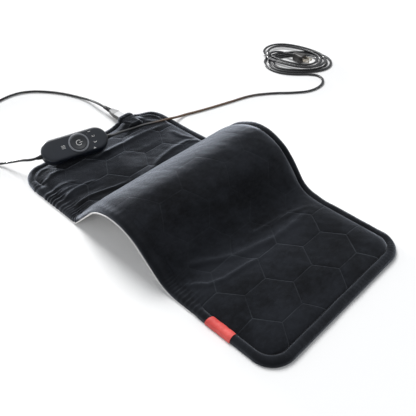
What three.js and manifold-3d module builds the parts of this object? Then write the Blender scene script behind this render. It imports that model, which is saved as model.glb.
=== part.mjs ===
// Heating pad with a hand controller, a detachable pad connector and a mains cord.
// Millimetres, +Z up. The pad lies on the floor with an arch across its middle.
// Pieces are placed from the pad's corner at the far short edge and the near long edge,
// and the whole group is then shifted so that the middle of the pad's plan is the origin.

import * as THREE from 'three';
import { mergeVertices } from 'three/addons/utils/BufferGeometryUtils.js';
import Module from 'manifold-3d';

const wasm = await Module();
wasm.setup();

const degrees = Math.PI / 180;
const seatGap = 0.3;

// Pad outline and arch
const padLength = 610;
const padWidth = 305;
const padCornerRadius = 38;
const farFlat = 156.5;
const valleyRadius = 20;
const riseAngle = 46.3 * degrees;
const riseRun = 54.7;
const crestRadius = 77.4;
const fallAngle = 42.5 * degrees;
const footRadius = 62.9;
const farSideRise = 1.18;
const farSideLean = 15;
const farSideOut = 6;
const farSideOutFrom = 180;
const farSideOutFull = 290;
const slopeOut = 8;
const slopeOutAt = 390;
const slopeOutReach = 85;
const crossFacets = 4;

// Pad layers, from the floor side up
const backThickness = 1.6;
const feltThickness = 1.2;
const wireDiameter = 1.2;
const wireRoom = 0.5;
const wireRunPitch = 48;
const wireEndMargin = 34;
const coverSkin = 1.6;
const coverCrown = 2.7;
const crownRun = 26;

// Hexagon quilting, two edges of each cell square to the pad's length
const quiltPitch = 64;
const quiltRowPitch = 64;
const quiltOffset = 24;
const channelDepth = 1.6;
const channelReach = 12;

// Edge binding and the fabric tag that wraps it
const bindingWidth = 13;
const bindingHeight = 7.5;
const bindingFullness = 0.7;
const tagLength = 44;
const tagFromFrontEdge = 73;
const tagThickness = 0.9;
const tagShares = 12;
const tagFolds = 9;

// Thermostats between the felts
const thermostatLength = 15;
const thermostatWidth = 6;
const thermostatHeight = 1.5;
const thermostatFromFarEdge = [64, 496];
const thermostatFromNearEdge = [190, 118];

// Socket in the pad and the connector that plugs into it
const socketFromNearEdge = 236;
const socketInset = 3;
const socketLength = 30;
const socketWidth = 24;
const socketHeight = 11;
const pocketWall = 1.4;
const pocketCorner = 5;
const noseWidth = 13;
const noseHeight = 7;
const noseLength = 16.5;
const pinSpacing = 6.4;
const pinRadius = 1;
const pinLength = 16;
const pinSeat = 4;
const sleeveWall = 0.4;
const sleeveLength = 13;
const connectorLength = 42;
const connectorWidth = 16;
const connectorHeight = 11;
const connectorCorner = 2.5;
const connectorReliefLength = 22;
const reliefRearRadius = 5;
const reliefTipRadius = 3.2;
const reliefRibs = 4;
const reliefGroove = 0.9;

// Controller
const controllerLength = 120;
const controllerWidth = 44;
const controllerWall = 2;
const controllerTurn = 74 * degrees;
const controllerRoll = 32 * degrees;
const controllerFromFarEdge = 30.5;
const controllerFromNearEdge = 100.3;
const upperWallHeight = 6.4;
const upperEdgeRadius = 5;
const lowerWallHeight = 3;
const bellyInset = 13;
const bellyDepth = 11.4;
const buttonOffset = 6.7;
const buttonRadius = 14.3;
const buttonClearance = 0.5;
const buttonRimHeight = 1.8;
const buttonDish = 1.5;
const buttonEdge = 0.7;
const buttonFlange = 2.7;
const buttonFlangeThickness = 1.4;
const buttonStemRadius = 3;
const ringWidth = 3.2;
const ringHeight = 1.4;
const ringEdge = 0.8;
const buttonTravel = 1.2;
const boardEndRoom = 14;
const boardWidth = 34;
const boardThickness = 1.6;
const boardDrop = 1.6;
const boardCorner = 2;
const switchSide = 12;
const switchHeight = 4.3;
const plungerRadius = 1.7;
const plungerProud = 1.6;
const plungerLength = 3.6;
const markArcRadius = 22.4;
const markAngles = [-36, -14, 8, 30];
const guidePostRadius = 1.1;
const guideWidth = 4;
const guideThickness = 1.4;
const guideHalfAngle = 41 * degrees;
const lampSide = 2;
const lampHeight = 1.5;
const screwFromEnd = 20;
const screwShankRadius = 1.2;
const screwHeadRadius = 2.8;
const screwHeadHeight = 2;
const screwGrip = 5;
const bossWall = 1.7;
const triacSize = [10, 9, 4.5];
const triacPlace = [-13, 8];
const capacitorSize = [18, 8, 7.5];
const capacitorPlace = [-26, -9];
const fuseRadius = 2.5;
const fuseLength = 18;
const fusePlace = [-30, 9];
const grommetFlangeRadius = 5;
const grommetFlangeLength = 2;
const grommetRadius = 4.4;
const grommetTipRadius = 3.1;
const grommetLength = 9;
const grommetNeckRadius = 3.4;
const stadiumSteps = 6;

// Cords
const leadDiameter = 4.6;
const leadSteps = 50;
const cordWidth = 5.6;
const cordThickness = 3.2;
const cordSteps = 56;
const cordSides = 8;

// Hank of mains cord
const hankCentre = [91, 674.5];
const hankTurn = 47.5 * degrees;
const hankHalfLength = 80.2;
const hankHalfWidth = 56.1;
const hankLoops = 5;
const hankPitch = 9.6;
const hankReversal = 2.59;
const hankLayer = 3.8;
const hankClimb = 0.26;
const hankSwing = -36.3 * degrees;
const hankSwingSpan = 0.3;
const hankLiftFrom = 4.54;
const hankLiftSpan = 0.33;
const hankSquareness = 1.67;
const stepsPerLoop = 24;
const hankSides = 6;
const hookExtraTurn = 19.5 * degrees;
const hookRadius = 24;
const hookSteps = 10;
const gapSteps = 6;
const gapNeighbours = 24;

// Mains plug
const plugHeading = 7.5 * degrees;
const plugReliefLength = 20;
const plugLength = 26;
const plugRearWidth = 13;
const plugFrontWidth = 23;
const plugThickness = 17;
const plugCorner = 3;
const plugWaist = 0.45;
const plugBevel = 2;
const bladeSpacing = 12.7;
const bladeWidth = 6.3;
const bladeThickness = 1.5;
const bladeLength = 17;
const bladeSeat = 6;

// Lead from the controller round to the connector, on the floor once it is off the pad
const leadPoints = [
  [11.3, 33.4, 30.6], [9.9, 28.6, 30.5], [4.8, 22.6, 29.4], [-4.3, 18.5, 26.8], [-13.6, 14.6, 23.1],
  [-23.8, 10.6, 18.4], [-35.3, 6.4, 13.0], [-46.4, 2.0, 7.9], [-57.0, -4.0, 4.2], [-69, -13, 2.7],
  [-84, -26, 2.4], [-106, -38, 2.4], [-138, -44, 2.4], [-172, -33, 2.4], [-203, -7, 2.4],
  [-227, 28, 2.4], [-243, 68, 2.4], [-250, 106, 2.4], [-252, 136, 2.4], [-247, 159, 2.4],
  [-233, 180.5, 2.4], [-212, 199, 2.4], [-183.5, 217, 2.4], [-158, 228, 2.5], [-134, 235, 3.4],
  [-112, 238.0, 6.0], [-92, 237.0, 9.9], [-77, 236.1, 12.1], [-70, 236.0, 12.3],
];

// Cord from the controller over the pad and along the floor to the hank
const cordPoints = [
  [49.7, 167.2, 30.6], [51.0, 172.0, 30.5], [50.0, 180.0, 28.8], [46.2, 191.0, 24.8], [42.6, 203.0, 19.9],
  [40.4, 216.0, 15.8], [40.6, 230.0, 13.6], [44.0, 246.0, 13.1], [51.0, 263.0, 13.1], [57.5, 280.0, 12.9],
  [61.5, 296.0, 11.6], [62.5, 311.0, 8.0], [62.0, 326.0, 4.2], [63.0, 341.0, 2.0], [69.0, 358.0, 1.75],
  [76, 378, 1.75], [94, 437, 1.75], [109, 486, 1.75], [134, 524, 1.75], [166, 559, 1.75],
  [184, 585, 1.75], [189.5, 611, 1.75], [186, 632, 1.75], [175, 647.5, 1.75], [158, 653.5, 1.75],
];

const add = (group, name, geometry, color, roughness, metalness = 0) => {
  const mesh = new THREE.Mesh(geometry, new THREE.MeshStandardMaterial({ color, roughness, metalness }));
  mesh.name = name;
  group.add(mesh);
  return mesh;
};

// A closed surface from points and triangles, turned so that its faces point out
function closedSurface(points, triangles) {
  let volume = 0;
  for (const [a, b, c] of triangles) {
    const [p, q, r] = [points[a], points[b], points[c]];
    volume += p.dot(new THREE.Vector3().crossVectors(q, r));
  }
  const order = volume < 0 ? triangles.map(([a, b, c]) => [a, c, b]) : triangles;
  const geometry = new THREE.BufferGeometry();
  geometry.setAttribute('position', new THREE.Float32BufferAttribute(points.flatMap((p) => p.toArray()), 3));
  geometry.setIndex(order.flat());
  return geometry;
}

function toSolid(geometry) {
  const bare = geometry.clone();
  bare.deleteAttribute('normal');
  bare.deleteAttribute('uv');
  const merged = mergeVertices(bare, 1e-3);
  return new wasm.Manifold(new wasm.Mesh({
    numProp: 3,
    vertProperties: new Float32Array(merged.attributes.position.array),
    triVerts: new Uint32Array(merged.index.array),
  }));
}

function toGeometry(solid) {
  const mesh = solid.getMesh();
  const geometry = new THREE.BufferGeometry();
  geometry.setAttribute('position', new THREE.Float32BufferAttribute(mesh.vertProperties, 3));
  geometry.setIndex(Array.from(mesh.triVerts));
  return geometry;
}

const cut = (geometry, ...tools) =>
  toGeometry(tools.reduce((solid, tool) => solid.subtract(toSolid(tool)), toSolid(geometry)));
const join = (geometry, ...others) =>
  toGeometry(others.reduce((solid, other) => solid.add(toSolid(other)), toSolid(geometry)));

// A box from its lowest and highest corners
function boxBetween(low, high) {
  const size = high.map((v, i) => v - low[i]);
  return new THREE.BoxGeometry(...size).translate(...low.map((v, i) => v + size[i] / 2));
}

// A round bar along Z between two heights
const barZ = (radius, low, high, sides = 16) => {
  const bar = new THREE.CylinderGeometry(radius, radius, high - low, sides);
  return bar.rotateX(Math.PI / 2).translate(0, 0, (low + high) / 2);
};

// The same along X, on an axis moved across in Y
const barX = (radius, from, to, across, sides = 12) =>
  barZ(radius, from, to, sides).rotateY(Math.PI / 2).translate(0, across, 0);

// A turned piece: the profile holds [radius, height] pairs, and the axis is Z
const turned = (profile, sides = 24) =>
  new THREE.LatheGeometry(profile.map(([r, h]) => new THREE.Vector2(r, h)), sides).rotateX(Math.PI / 2);

function roundedRectangle(width, height, radius) {
  const shape = new THREE.Shape();
  const [x, y] = [width / 2, height / 2];
  shape.moveTo(-x + radius, -y);
  shape.lineTo(x - radius, -y);
  shape.absarc(x - radius, -y + radius, radius, -Math.PI / 2, 0, false);
  shape.lineTo(x, y - radius);
  shape.absarc(x - radius, y - radius, radius, 0, Math.PI / 2, false);
  shape.lineTo(-x + radius, y);
  shape.absarc(-x + radius, y - radius, radius, Math.PI / 2, Math.PI, false);
  shape.lineTo(-x, -y + radius);
  shape.absarc(-x + radius, -y + radius, radius, Math.PI, Math.PI * 1.5, false);
  return shape;
}

// A prism of a shape drawn across Y and Z, running along X from one place to another
function prismX(shape, from, to) {
  const prism = new THREE.ExtrudeGeometry(shape, { depth: to - from, bevelEnabled: false, curveSegments: 4 });
  return prism.applyMatrix4(new THREE.Matrix4().set(0, 0, 1, from, 1, 0, 0, 0, 0, 1, 0, 0, 0, 0, 0, 1));
}

// Arch profile

const riseHeight = valleyRadius * (1 - Math.cos(riseAngle)) + riseRun * Math.sin(riseAngle);
const crestDrop = crestRadius * (Math.cos(fallAngle) - Math.cos(riseAngle));
const footHeight = footRadius * (1 - Math.cos(fallAngle));
const fallRun = (riseHeight + crestDrop - footHeight) / Math.sin(fallAngle);
const crestHeight = riseHeight + crestRadius * (1 - Math.cos(riseAngle));

const archPieces = [
  { length: farFlat, turn: 0 },
  { length: valleyRadius * riseAngle, turn: riseAngle },
  { length: riseRun, turn: 0 },
  { length: crestRadius * (riseAngle + fallAngle), turn: -riseAngle - fallAngle },
  { length: fallRun, turn: 0 },
  { length: footRadius * fallAngle, turn: fallAngle },
];
const archEnd = archPieces.reduce((sum, piece) => sum + piece.length, 0);
archPieces.push({ length: padLength - archEnd, turn: 0 });

// Place and slope of the pad's floor side at a distance along its cloth from the far short edge
function profileAt(along) {
  let [x, z, angle, left] = [0, 0, 0, along];
  for (const [index, { length, turn }] of archPieces.entries()) {
    const last = index === archPieces.length - 1;
    const step = last ? left : Math.min(left, length);
    const bend = turn * step / length;
    const chord = turn ? 2 * length / turn * Math.sin(bend / 2) : step;
    x += chord * Math.cos(angle + bend / 2);
    z += chord * Math.sin(angle + bend / 2);
    angle += bend;
    left -= step;
  }
  return { x, z: Math.max(z, 0), angle };
}

// How far the far long edge lies out, in front of the arch's crest and most on its slope
function farEdgeOut(along) {
  const run = (along - farSideOutFrom) / (farSideOutFull - farSideOutFrom);
  const front = Math.min(1, Math.max(0, run));
  const away = Math.min(1, Math.abs(along - slopeOutAt) / slopeOutReach);
  return farSideOut * front ** 2 * (3 - 2 * front) + slopeOut * (1 - away ** 2) ** 2;
}

// A point of the pad: distance along the cloth, distance from the near long edge and height
function padPoint(along, across, height) {
  const { x, z, angle } = profileAt(along);
  const share = across / padWidth;
  const lean = farSideLean * share * z / crestHeight;
  const rise = 1 + (farSideRise - 1) * share;
  const out = farEdgeOut(along) * share;
  return new THREE.Vector3(
    x + lean - height * Math.sin(angle), across + out, z * rise + height * Math.cos(angle),
  );
}

const planLength = profileAt(padLength).x;
const quiltStep = quiltPitch / 4;
const quiltRowStep = quiltRowPitch / 6;
const valleyStations = [0, 1, 2, 3].map((k) => farFlat + valleyRadius * riseAngle * k / 3);

// Stations along the cloth where the layers' facets meet, shared by every layer
const innerStations = [...valleyStations];
for (let s = quiltOffset; s < padLength - quiltStep; s += quiltStep) {
  if (valleyStations.every((v) => Math.abs(v - s) > quiltStep / 3)) innerStations.push(s);
}
innerStations.sort((a, b) => a - b);

// Stations of a layer whose outline stands back from the pad's outline by an inset.
// A plain layer needs none where the pad lies flat.
function stationsFor(inset, cornerSteps, plain) {
  const radius = padCornerRadius - inset;
  const corner = [];
  for (let k = 0; k <= cornerSteps; k += 1) {
    corner.push(inset + radius * (1 - Math.sin(k / cornerSteps * Math.PI / 2)));
  }
  corner.reverse();
  const reach = inset + radius + quiltStep / 4;
  const bentEnd = Math.max(archEnd, slopeOutAt + slopeOutReach);
  const bent = (s) => s > farFlat - quiltStep && s < bentEnd + quiltStep;
  const middle = innerStations.filter((s) => s > reach && s < padLength - reach && (bent(s) || !plain));
  return [...corner, ...middle, ...corner.map((s) => padLength - s).reverse()];
}

// How far the outline's long edge is drawn in at a station, by the round corners
function cornerDraw(along, inset) {
  const radius = padCornerRadius - inset;
  const toEnd = Math.min(along, padLength - along) - inset;
  if (toEnd >= radius) return inset;
  return inset + radius - Math.sqrt(Math.max(0, radius ** 2 - (radius - toEnd) ** 2));
}

// A layer of the pad. Its top has a row of points across each station, its floor side only some of them.
function padLayer({ inset, low, cornerSteps, rows, top, plain = true }) {
  const stations = stationsFor(inset, cornerSteps, plain);
  const last = stations.length - 1;
  const end = rows.length - 1;
  const lowRows = [];
  for (let k = 0; k <= crossFacets; k += 1) lowRows.push(Math.round(end * k / crossFacets));
  const points = [];
  const triangles = [];
  const put = (point) => points.push(point) - 1;
  const across = (i, j) => {
    const draw = cornerDraw(stations[i], inset);
    const full = padWidth - 2 * inset;
    const toEnd = Math.min(stations[i], padLength - stations[i]);
    const drawn = draw + (rows[j] - inset) * (padWidth - 2 * draw) / full;
    return toEnd < inset + padCornerRadius ? drawn : rows[j];
  };
  const upper = stations.map((s, i) => rows.map((_, j) => {
    const edge = i === 0 || i === last || j === 0 || j === end;
    return put(padPoint(s, across(i, j), top(s, across(i, j), edge)));
  }));
  const lower = stations.map((s, i) => rows.map((_, j) => {
    const kept = i === 0 || i === last || lowRows.includes(j);
    return kept ? put(padPoint(s, across(i, j), low)) : -1;
  }));
  const quad = (a, b, c, d) => triangles.push([a, b, c], [a, c, d]);
  for (let i = 0; i < last; i += 1) {
    for (let j = 0; j < end; j += 1) {
      const [a, b, c, d] = [upper[i][j], upper[i + 1][j], upper[i + 1][j + 1], upper[i][j + 1]];
      if (plain || slantsForward(stations[i], stations[i + 1], rows[j], rows[j + 1])) quad(a, b, c, d);
      else quad(b, c, d, a);
    }
    quad(upper[i][0], lower[i][0], lower[i + 1][0], upper[i + 1][0]);
    quad(upper[i + 1][end], lower[i + 1][end], lower[i][end], upper[i][end]);
  }
  for (let j = 0; j < end; j += 1) {
    quad(upper[0][j + 1], lower[0][j + 1], lower[0][j], upper[0][j]);
    quad(upper[last][j], lower[last][j], lower[last][j + 1], upper[last][j + 1]);
  }
  for (let k = 0; k < crossFacets; k += 1) {
    const [near, far] = [lowRows[k], lowRows[k + 1]];
    const middle = Math.floor((near + far) / 2);
    for (let i = 1; i < last - 1; i += 1) {
      quad(lower[i][near], lower[i][far], lower[i + 1][far], lower[i + 1][near]);
    }
    for (let j = near; j < far; j += 1) {
      const side = j < middle ? near : far;
      triangles.push([lower[0][j], lower[0][j + 1], lower[1][side]]);
      triangles.push([lower[last][j + 1], lower[last][j], lower[last - 1][side]]);
    }
    triangles.push([lower[0][middle], lower[1][far], lower[1][near]]);
    triangles.push([lower[last][middle], lower[last - 1][near], lower[last - 1][far]]);
  }
  return closedSurface(points, triangles);
}

// Quilting lines: the distance from a point of the cloth to the nearest edge of a hexagon

function quiltDistance(along, across) {
  const row = Math.round((across - padWidth / 2) / quiltRowPitch);
  let nearest = Infinity;
  for (const r of [row - 1, row, row + 1]) {
    const middle = padWidth / 2 + r * quiltRowPitch;
    const start = quiltOffset + (Math.abs(r) % 2) * quiltPitch / 2;
    const edge = start + Math.round((along - start) / quiltPitch) * quiltPitch;
    for (const s of [edge - quiltPitch, edge, edge + quiltPitch]) {
      const tip = middle + quiltRowPitch / 3;
      const next = tip + quiltRowPitch / 3;
      nearest = Math.min(
        nearest,
        toSegment(along, across, s, middle - quiltRowPitch / 3, s, tip),
        toSegment(along, across, s, tip, s + quiltPitch / 2, next),
        toSegment(along, across, s, tip, s - quiltPitch / 2, next),
      );
    }
  }
  return nearest;
}

function toSegment(x, y, x0, y0, x1, y1) {
  const [dx, dy] = [x1 - x0, y1 - y0];
  const t = Math.min(1, Math.max(0, ((x - x0) * dx + (y - y0) * dy) / (dx * dx + dy * dy)));
  return Math.hypot(x - x0 - t * dx, y - y0 - t * dy);
}

// Which diagonal of a patch of cloth lies along a slanting quilting line
function slantsForward(s0, s1, y0, y1) {
  const [s, y] = [(s0 + s1) / 2, (y0 + y1) / 2];
  const towards = quiltDistance(s0, y0) + quiltDistance(s1, y1);
  const against = quiltDistance(s1, y0) + quiltDistance(s0, y1);
  return quiltDistance(s, y) > channelReach || towards <= against;
}

// Pad layers

const coreInset = bindingWidth + seatGap;
const feltLow = backThickness + seatGap;
const wireHeight = feltLow + feltThickness + wireRoom + wireDiameter / 2;
const upperFeltLow = wireHeight + wireDiameter / 2 + wireRoom;
const coverLow = upperFeltLow + feltThickness + seatGap;
const coverEdge = coverLow + coverSkin;
const coverTop = coverEdge + coverCrown;
const plainRows = (inset) => {
  const rows = [];
  for (let k = 1; k < crossFacets; k += 1) rows.push(padWidth * k / crossFacets);
  return [inset, ...rows, padWidth - inset];
};

function coverHeight(along, across, edge) {
  if (edge) return coverEdge;
  const toEnd = Math.min(along, padLength - along) - coreInset;
  const toSide = Math.min(across, padWidth - across) - coreInset;
  const inward = Math.min(1, Math.max(0, Math.min(toEnd, toSide) / crownRun));
  const crown = coverCrown * (1 - (1 - inward) ** 2);
  const line = Math.max(0, 1 - quiltDistance(along, across) / channelReach);
  return coverEdge + crown - channelDepth * line * line * Math.sqrt(inward);
}

function coverRows() {
  const rows = [coreInset, padWidth - coreInset];
  const reach = padWidth / 2 - coreInset - 1.5 * quiltRowStep;
  for (let y = 0; y < reach; y += quiltRowStep) {
    rows.push(padWidth / 2 + y);
    if (y > 0) rows.push(padWidth / 2 - y);
  }
  return rows.sort((a, b) => a - b);
}

const socketLow = coverLow;
const socketAxis = socketLow + socketHeight / 2;
const pocketHalf = socketWidth / 2 + seatGap + pocketWall;
const windowHalf = pocketHalf + seatGap;
const pocketEnd = socketInset + socketLength + seatGap + pocketWall;
const socketCut = boxBetween(
  [-1, socketFromNearEdge - windowHalf, socketLow - seatGap],
  [pocketEnd + seatGap, socketFromNearEdge + windowHalf, coverTop + bindingHeight],
);

function bindingSection(share) {
  const angle = share * Math.PI;
  const across = bindingWidth / 2 * (1 - Math.cos(angle));
  return [across, feltLow + bindingHeight * Math.sin(angle) ** bindingFullness];
}

// The binding follows the pad's outline, over the margin of the back panel
function edgeBinding() {
  const path = [];
  const cornerSteps = 6;
  const [r, far, side] = [padCornerRadius, padLength - padCornerRadius, padWidth - padCornerRadius];
  const between = innerStations.filter((s) => s > r + 1 && s < far - 1);
  const turnCorner = (s, y, from) => {
    for (let k = 0; k <= cornerSteps; k += 1) {
      const angle = from + k / cornerSteps * Math.PI / 2;
      path.push([s + r * Math.cos(angle), y + r * Math.sin(angle), -Math.cos(angle), -Math.sin(angle)]);
    }
  };
  turnCorner(r, r, Math.PI);
  between.forEach((s) => path.push([s, 0, 0, 1]));
  turnCorner(far, r, Math.PI * 1.5);
  turnCorner(far, side, 0);
  [...between].reverse().forEach((s) => path.push([s, padWidth, 0, -1]));
  turnCorner(r, side, Math.PI / 2);
  const shares = [0, 1, 2, 3, 4, 5, 6].map((k) => k / 6);
  const section = shares.map((share) => bindingSection(share));
  const points = path.flatMap(([s, y, inS, inY]) =>
    section.map(([d, h]) => padPoint(s + d * inS, y + d * inY, h)));
  const [n, m] = [path.length, section.length];
  const triangles = [];
  for (let i = 0; i < n; i += 1) {
    for (let j = 0; j < m; j += 1) {
      const [i2, j2] = [(i + 1) % n, (j + 1) % m];
      triangles.push([i * m + j, i2 * m + j, i2 * m + j2], [i * m + j, i2 * m + j2, i * m + j2]);
    }
  }
  return closedSurface(points, triangles);
}

// The tag is folded over the binding near the front of the near long edge
function sideTag() {
  const [inner, outer] = [[], []];
  const near = 0.12 / tagShares;
  for (let k = 1; k <= tagFolds; k += 1) {
    const [d0, h0] = bindingSection(k / tagShares - near);
    const [d1, h1] = bindingSection(k / tagShares + near);
    const [d, h] = bindingSection(k / tagShares);
    const run = Math.hypot(d1 - d0, h1 - h0);
    const [outD, outH] = [-(h1 - h0) / run, (d1 - d0) / run];
    inner.push(new THREE.Vector2(d + seatGap * outD, h + seatGap * outH));
    const reach = seatGap + tagThickness;
    outer.push(new THREE.Vector2(d + reach * outD, h + reach * outH));
  }
  const shape = new THREE.Shape([...outer, ...inner.reverse()]);
  const to = planLength - tagFromFrontEdge;
  return prismX(shape, to - tagLength, to);
}

// The heating wire runs to and fro between the felts, across the pad
function heatingWire() {
  const bend = wireRunPitch / 2;
  const first = innerStations.find((s) => s >= coreInset + bend);
  const route = [];
  const nearY = coreInset + wireEndMargin;
  const farY = padWidth - nearY;
  const facetPoint = (s, y) => {
    const after = innerStations.findIndex((t) => t >= s);
    const [a, b] = [innerStations[Math.max(0, after - 1)], innerStations[after]];
    const share = b === a ? 0 : (s - a) / (b - a);
    return padPoint(a, y, wireHeight).lerp(padPoint(b, y, wireHeight), share);
  };
  let towards = 1;
  for (let s = first; s <= padLength - coreInset - bend; s += wireRunPitch) {
    const [from, to] = towards > 0 ? [nearY, farY] : [farY, nearY];
    route.push(facetPoint(s, from), facetPoint(s, to));
    if (s + wireRunPitch <= padLength - coreInset - bend) {
      const early = wireRunPitch / 6;
      const folds = innerStations.filter((t) => t > s + early && t < s + wireRunPitch - early);
      for (const t of [s + early, ...folds, s + wireRunPitch - early]) {
        const out = Math.sqrt(bend ** 2 - (t - s - bend) ** 2);
        route.push(facetPoint(t, to + towards * out));
      }
    }
    towards = -towards;
  }
  return sweptTube(route, tubeSection(wireDiameter, wireDiameter, 6));
}

function tubeSection(width, height, sides) {
  const section = [];
  for (let k = 0; k < sides; k += 1) {
    const angle = (k + 0.5) / sides * Math.PI * 2;
    section.push([width / 2 * Math.cos(angle), height / 2 * Math.sin(angle)]);
  }
  return section;
}

// A tube of one section along a line of points, with its width kept level
function sweptTube(line, section) {
  const m = section.length;
  const points = [];
  const triangles = [];
  line.forEach((point, i) => {
    const before = line[Math.max(0, i - 1)];
    const after = line[Math.min(line.length - 1, i + 1)];
    const ahead = new THREE.Vector3().subVectors(after, before).normalize();
    const side = new THREE.Vector3(ahead.y, -ahead.x, 0).normalize();
    const up = new THREE.Vector3().crossVectors(side, ahead);
    section.forEach(([w, h]) => points.push(point.clone().addScaledVector(side, w).addScaledVector(up, h)));
  });
  for (let i = 0; i < line.length - 1; i += 1) {
    for (let j = 0; j < m; j += 1) {
      const j2 = (j + 1) % m;
      const [a, b] = [i * m, (i + 1) * m];
      triangles.push([a + j, b + j, b + j2], [a + j, b + j2, a + j2]);
    }
  }
  const tail = (line.length - 1) * m;
  for (let j = 1; j < m - 1; j += 1) {
    triangles.push([0, j, j + 1], [tail, tail + j + 1, tail + j]);
  }
  return closedSurface(points, triangles);
}

function thermostat(index) {
  const { x, z } = profileAt(thermostatFromFarEdge[index]);
  const shape = roundedRectangle(thermostatLength, thermostatWidth, thermostatWidth / 3);
  const settings = { depth: thermostatHeight, bevelEnabled: false, curveSegments: 3 };
  const slab = new THREE.ExtrudeGeometry(shape, settings);
  return slab.translate(x, thermostatFromNearEdge[index], z + wireHeight - thermostatHeight / 2);
}

const pad = new THREE.Group();
add(pad, 'cover_back', padLayer({
  inset: 0, low: 0, cornerSteps: 5, rows: plainRows(0), top: () => backThickness,
}), 0xc9c4bd, 0.9);
add(pad, 'heater_felt_lower', padLayer({
  inset: coreInset, low: feltLow, cornerSteps: 3, rows: plainRows(coreInset),
  top: () => feltLow + feltThickness,
}), 0xd9d6cf, 0.95);
add(pad, 'heating_wire', heatingWire(), 0xb9543a, 0.5);
add(pad, 'heater_felt_upper', padLayer({
  inset: coreInset, low: upperFeltLow, cornerSteps: 3, rows: plainRows(coreInset),
  top: () => upperFeltLow + feltThickness,
}), 0xd9d6cf, 0.95);
add(pad, 'cover_top', cut(padLayer({
  inset: coreInset, low: coverLow, cornerSteps: 2, rows: coverRows(), top: coverHeight, plain: false,
}), socketCut), 0x2d2e34, 0.85);
add(pad, 'edge_binding', cut(edgeBinding(), socketCut), 0x221f25, 0.8);
add(pad, 'side_tag', sideTag(), 0xd8605c, 0.7);
add(pad, 'thermostat_1', thermostat(0), 0x8f9396, 0.35, 0.8);
add(pad, 'thermostat_2', thermostat(1), 0x8f9396, 0.35, 0.8);

// Socket, pocket and connector, on an axis along X

const socket = new THREE.Group();
socket.position.set(0, socketFromNearEdge, socketAxis);
pad.add(socket);

const socketEnd = socketInset + socketLength;
const connectorFace = socketInset - seatGap;
const noseTip = connectorFace + noseLength;
const cavityEnd = noseTip + seatGap;
const pinTip = cavityEnd + pinSeat - pinLength;
const sleeveInner = pinRadius + seatGap;
const sleeveOuter = sleeveInner + sleeveWall;
const sleeveStart = noseTip - sleeveLength - seatGap;

const pocketHeight = socketHeight + 2 * (seatGap + pocketWall);
const pocketShape = roundedRectangle(2 * pocketHalf, pocketHeight, pocketCorner);
const pocketOuter = prismX(pocketShape, socketInset - pocketWall, pocketEnd);
const pocketInner = boxBetween(
  [-socketInset, -pocketHalf + pocketWall, -socketHeight - pocketCorner],
  [socketEnd + seatGap, pocketHalf - pocketWall, socketHeight / 2 + seatGap],
);
const pocketSole = boxBetween(
  [-socketInset, -2 * pocketHalf, -2 * socketHeight],
  [pocketEnd + socketInset, 2 * pocketHalf, -socketHeight / 2],
);
add(socket, 'socket_pocket', cut(pocketOuter, pocketInner, pocketSole), 0x2b2b31, 0.85);

const socketShape = roundedRectangle(socketWidth, socketHeight, connectorCorner);
const socketBlock = prismX(socketShape, socketInset, socketEnd);
const socketCavity = boxBetween(
  [0, -noseWidth / 2 - seatGap, -noseHeight / 2 - seatGap],
  [cavityEnd, noseWidth / 2 + seatGap, noseHeight / 2 + seatGap],
);
const pinPlaces = [-pinSpacing / 2, pinSpacing / 2];
const seatEnd = cavityEnd + pinSeat + seatGap;
const pinSeats = pinPlaces.map((y) => barX(pinRadius + seatGap, cavityEnd - 1, seatEnd, y));
add(socket, 'socket_housing', cut(socketBlock, socketCavity, ...pinSeats), 0x1d1d20, 0.5);

const connectorRear = connectorFace - connectorLength;
const connectorShape = roundedRectangle(connectorWidth, connectorHeight, connectorCorner);
const connectorBody = prismX(connectorShape, connectorRear, connectorFace);
const splitBox = (low, high) => boxBetween(
  [connectorRear - 1, -connectorWidth, low],
  [connectorFace + 1, connectorWidth, high],
);
const nose = boxBetween(
  [connectorFace - 1, -noseWidth / 2, -noseHeight / 2],
  [noseTip, noseWidth / 2, noseHeight / 2],
);
const noseRoot = boxBetween(
  [connectorFace - 1 - seatGap, -noseWidth / 2 - seatGap, -1],
  [connectorFace + 1, noseWidth / 2 + seatGap, noseHeight / 2 + seatGap],
);
const boreRadius = sleeveOuter + seatGap;
const contactBores = pinPlaces.map((y) => barX(boreRadius, sleeveStart - seatGap, noseTip + 1, y));
add(socket, 'connector_upper', cut(
  connectorBody, splitBox(-connectorHeight, seatGap / 2), noseRoot,
), 0xc6c8ca, 0.4);
add(socket, 'connector_lower', cut(
  join(cut(connectorBody, splitBox(-seatGap / 2, connectorHeight)), nose),
  ...contactBores,
), 0x55585c, 0.45);

pinPlaces.forEach((y, index) => {
  add(socket, `socket_pin_${index + 1}`, barX(pinRadius, pinTip, pinTip + pinLength, y), 0xc9a85a, 0.3, 1);
  const ring = [
    [sleeveInner, 0], [sleeveOuter, 0], [sleeveOuter, sleeveLength], [sleeveInner, sleeveLength],
    [sleeveInner, 0],
  ];
  const sleeve = turned(ring, 12).rotateY(Math.PI / 2).translate(sleeveStart, y, 0);
  add(socket, `contact_sleeve_${index + 1}`, sleeve, 0xc9a85a, 0.3, 1);
});

// A ribbed strain relief that tapers along +Z, from its root at zero
function ribbedRelief(rootRadius, tipRadius, length) {
  const profile = [[0, 0]];
  const rib = length / (reliefRibs + 0.5);
  for (let k = 0; k <= reliefRibs; k += 1) {
    const at = k * rib;
    const radius = rootRadius + (tipRadius - rootRadius) * at / length;
    const groove = radius - reliefGroove;
    profile.push([radius, at], [radius, at + rib / 2]);
    if (k < reliefRibs) profile.push([groove, at + rib / 2], [groove, at + rib]);
  }
  profile.push([0, length]);
  return turned(profile, 10);
}

const connectorRelief = ribbedRelief(reliefRearRadius, reliefTipRadius, connectorReliefLength);
connectorRelief.rotateY(-Math.PI / 2).translate(connectorRear - seatGap, 0, 0);
add(socket, 'connector_relief', connectorRelief, 0x2a2b2e, 0.55);

// Controller: X along its length, towards the mains cord, and Z out of its face

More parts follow.
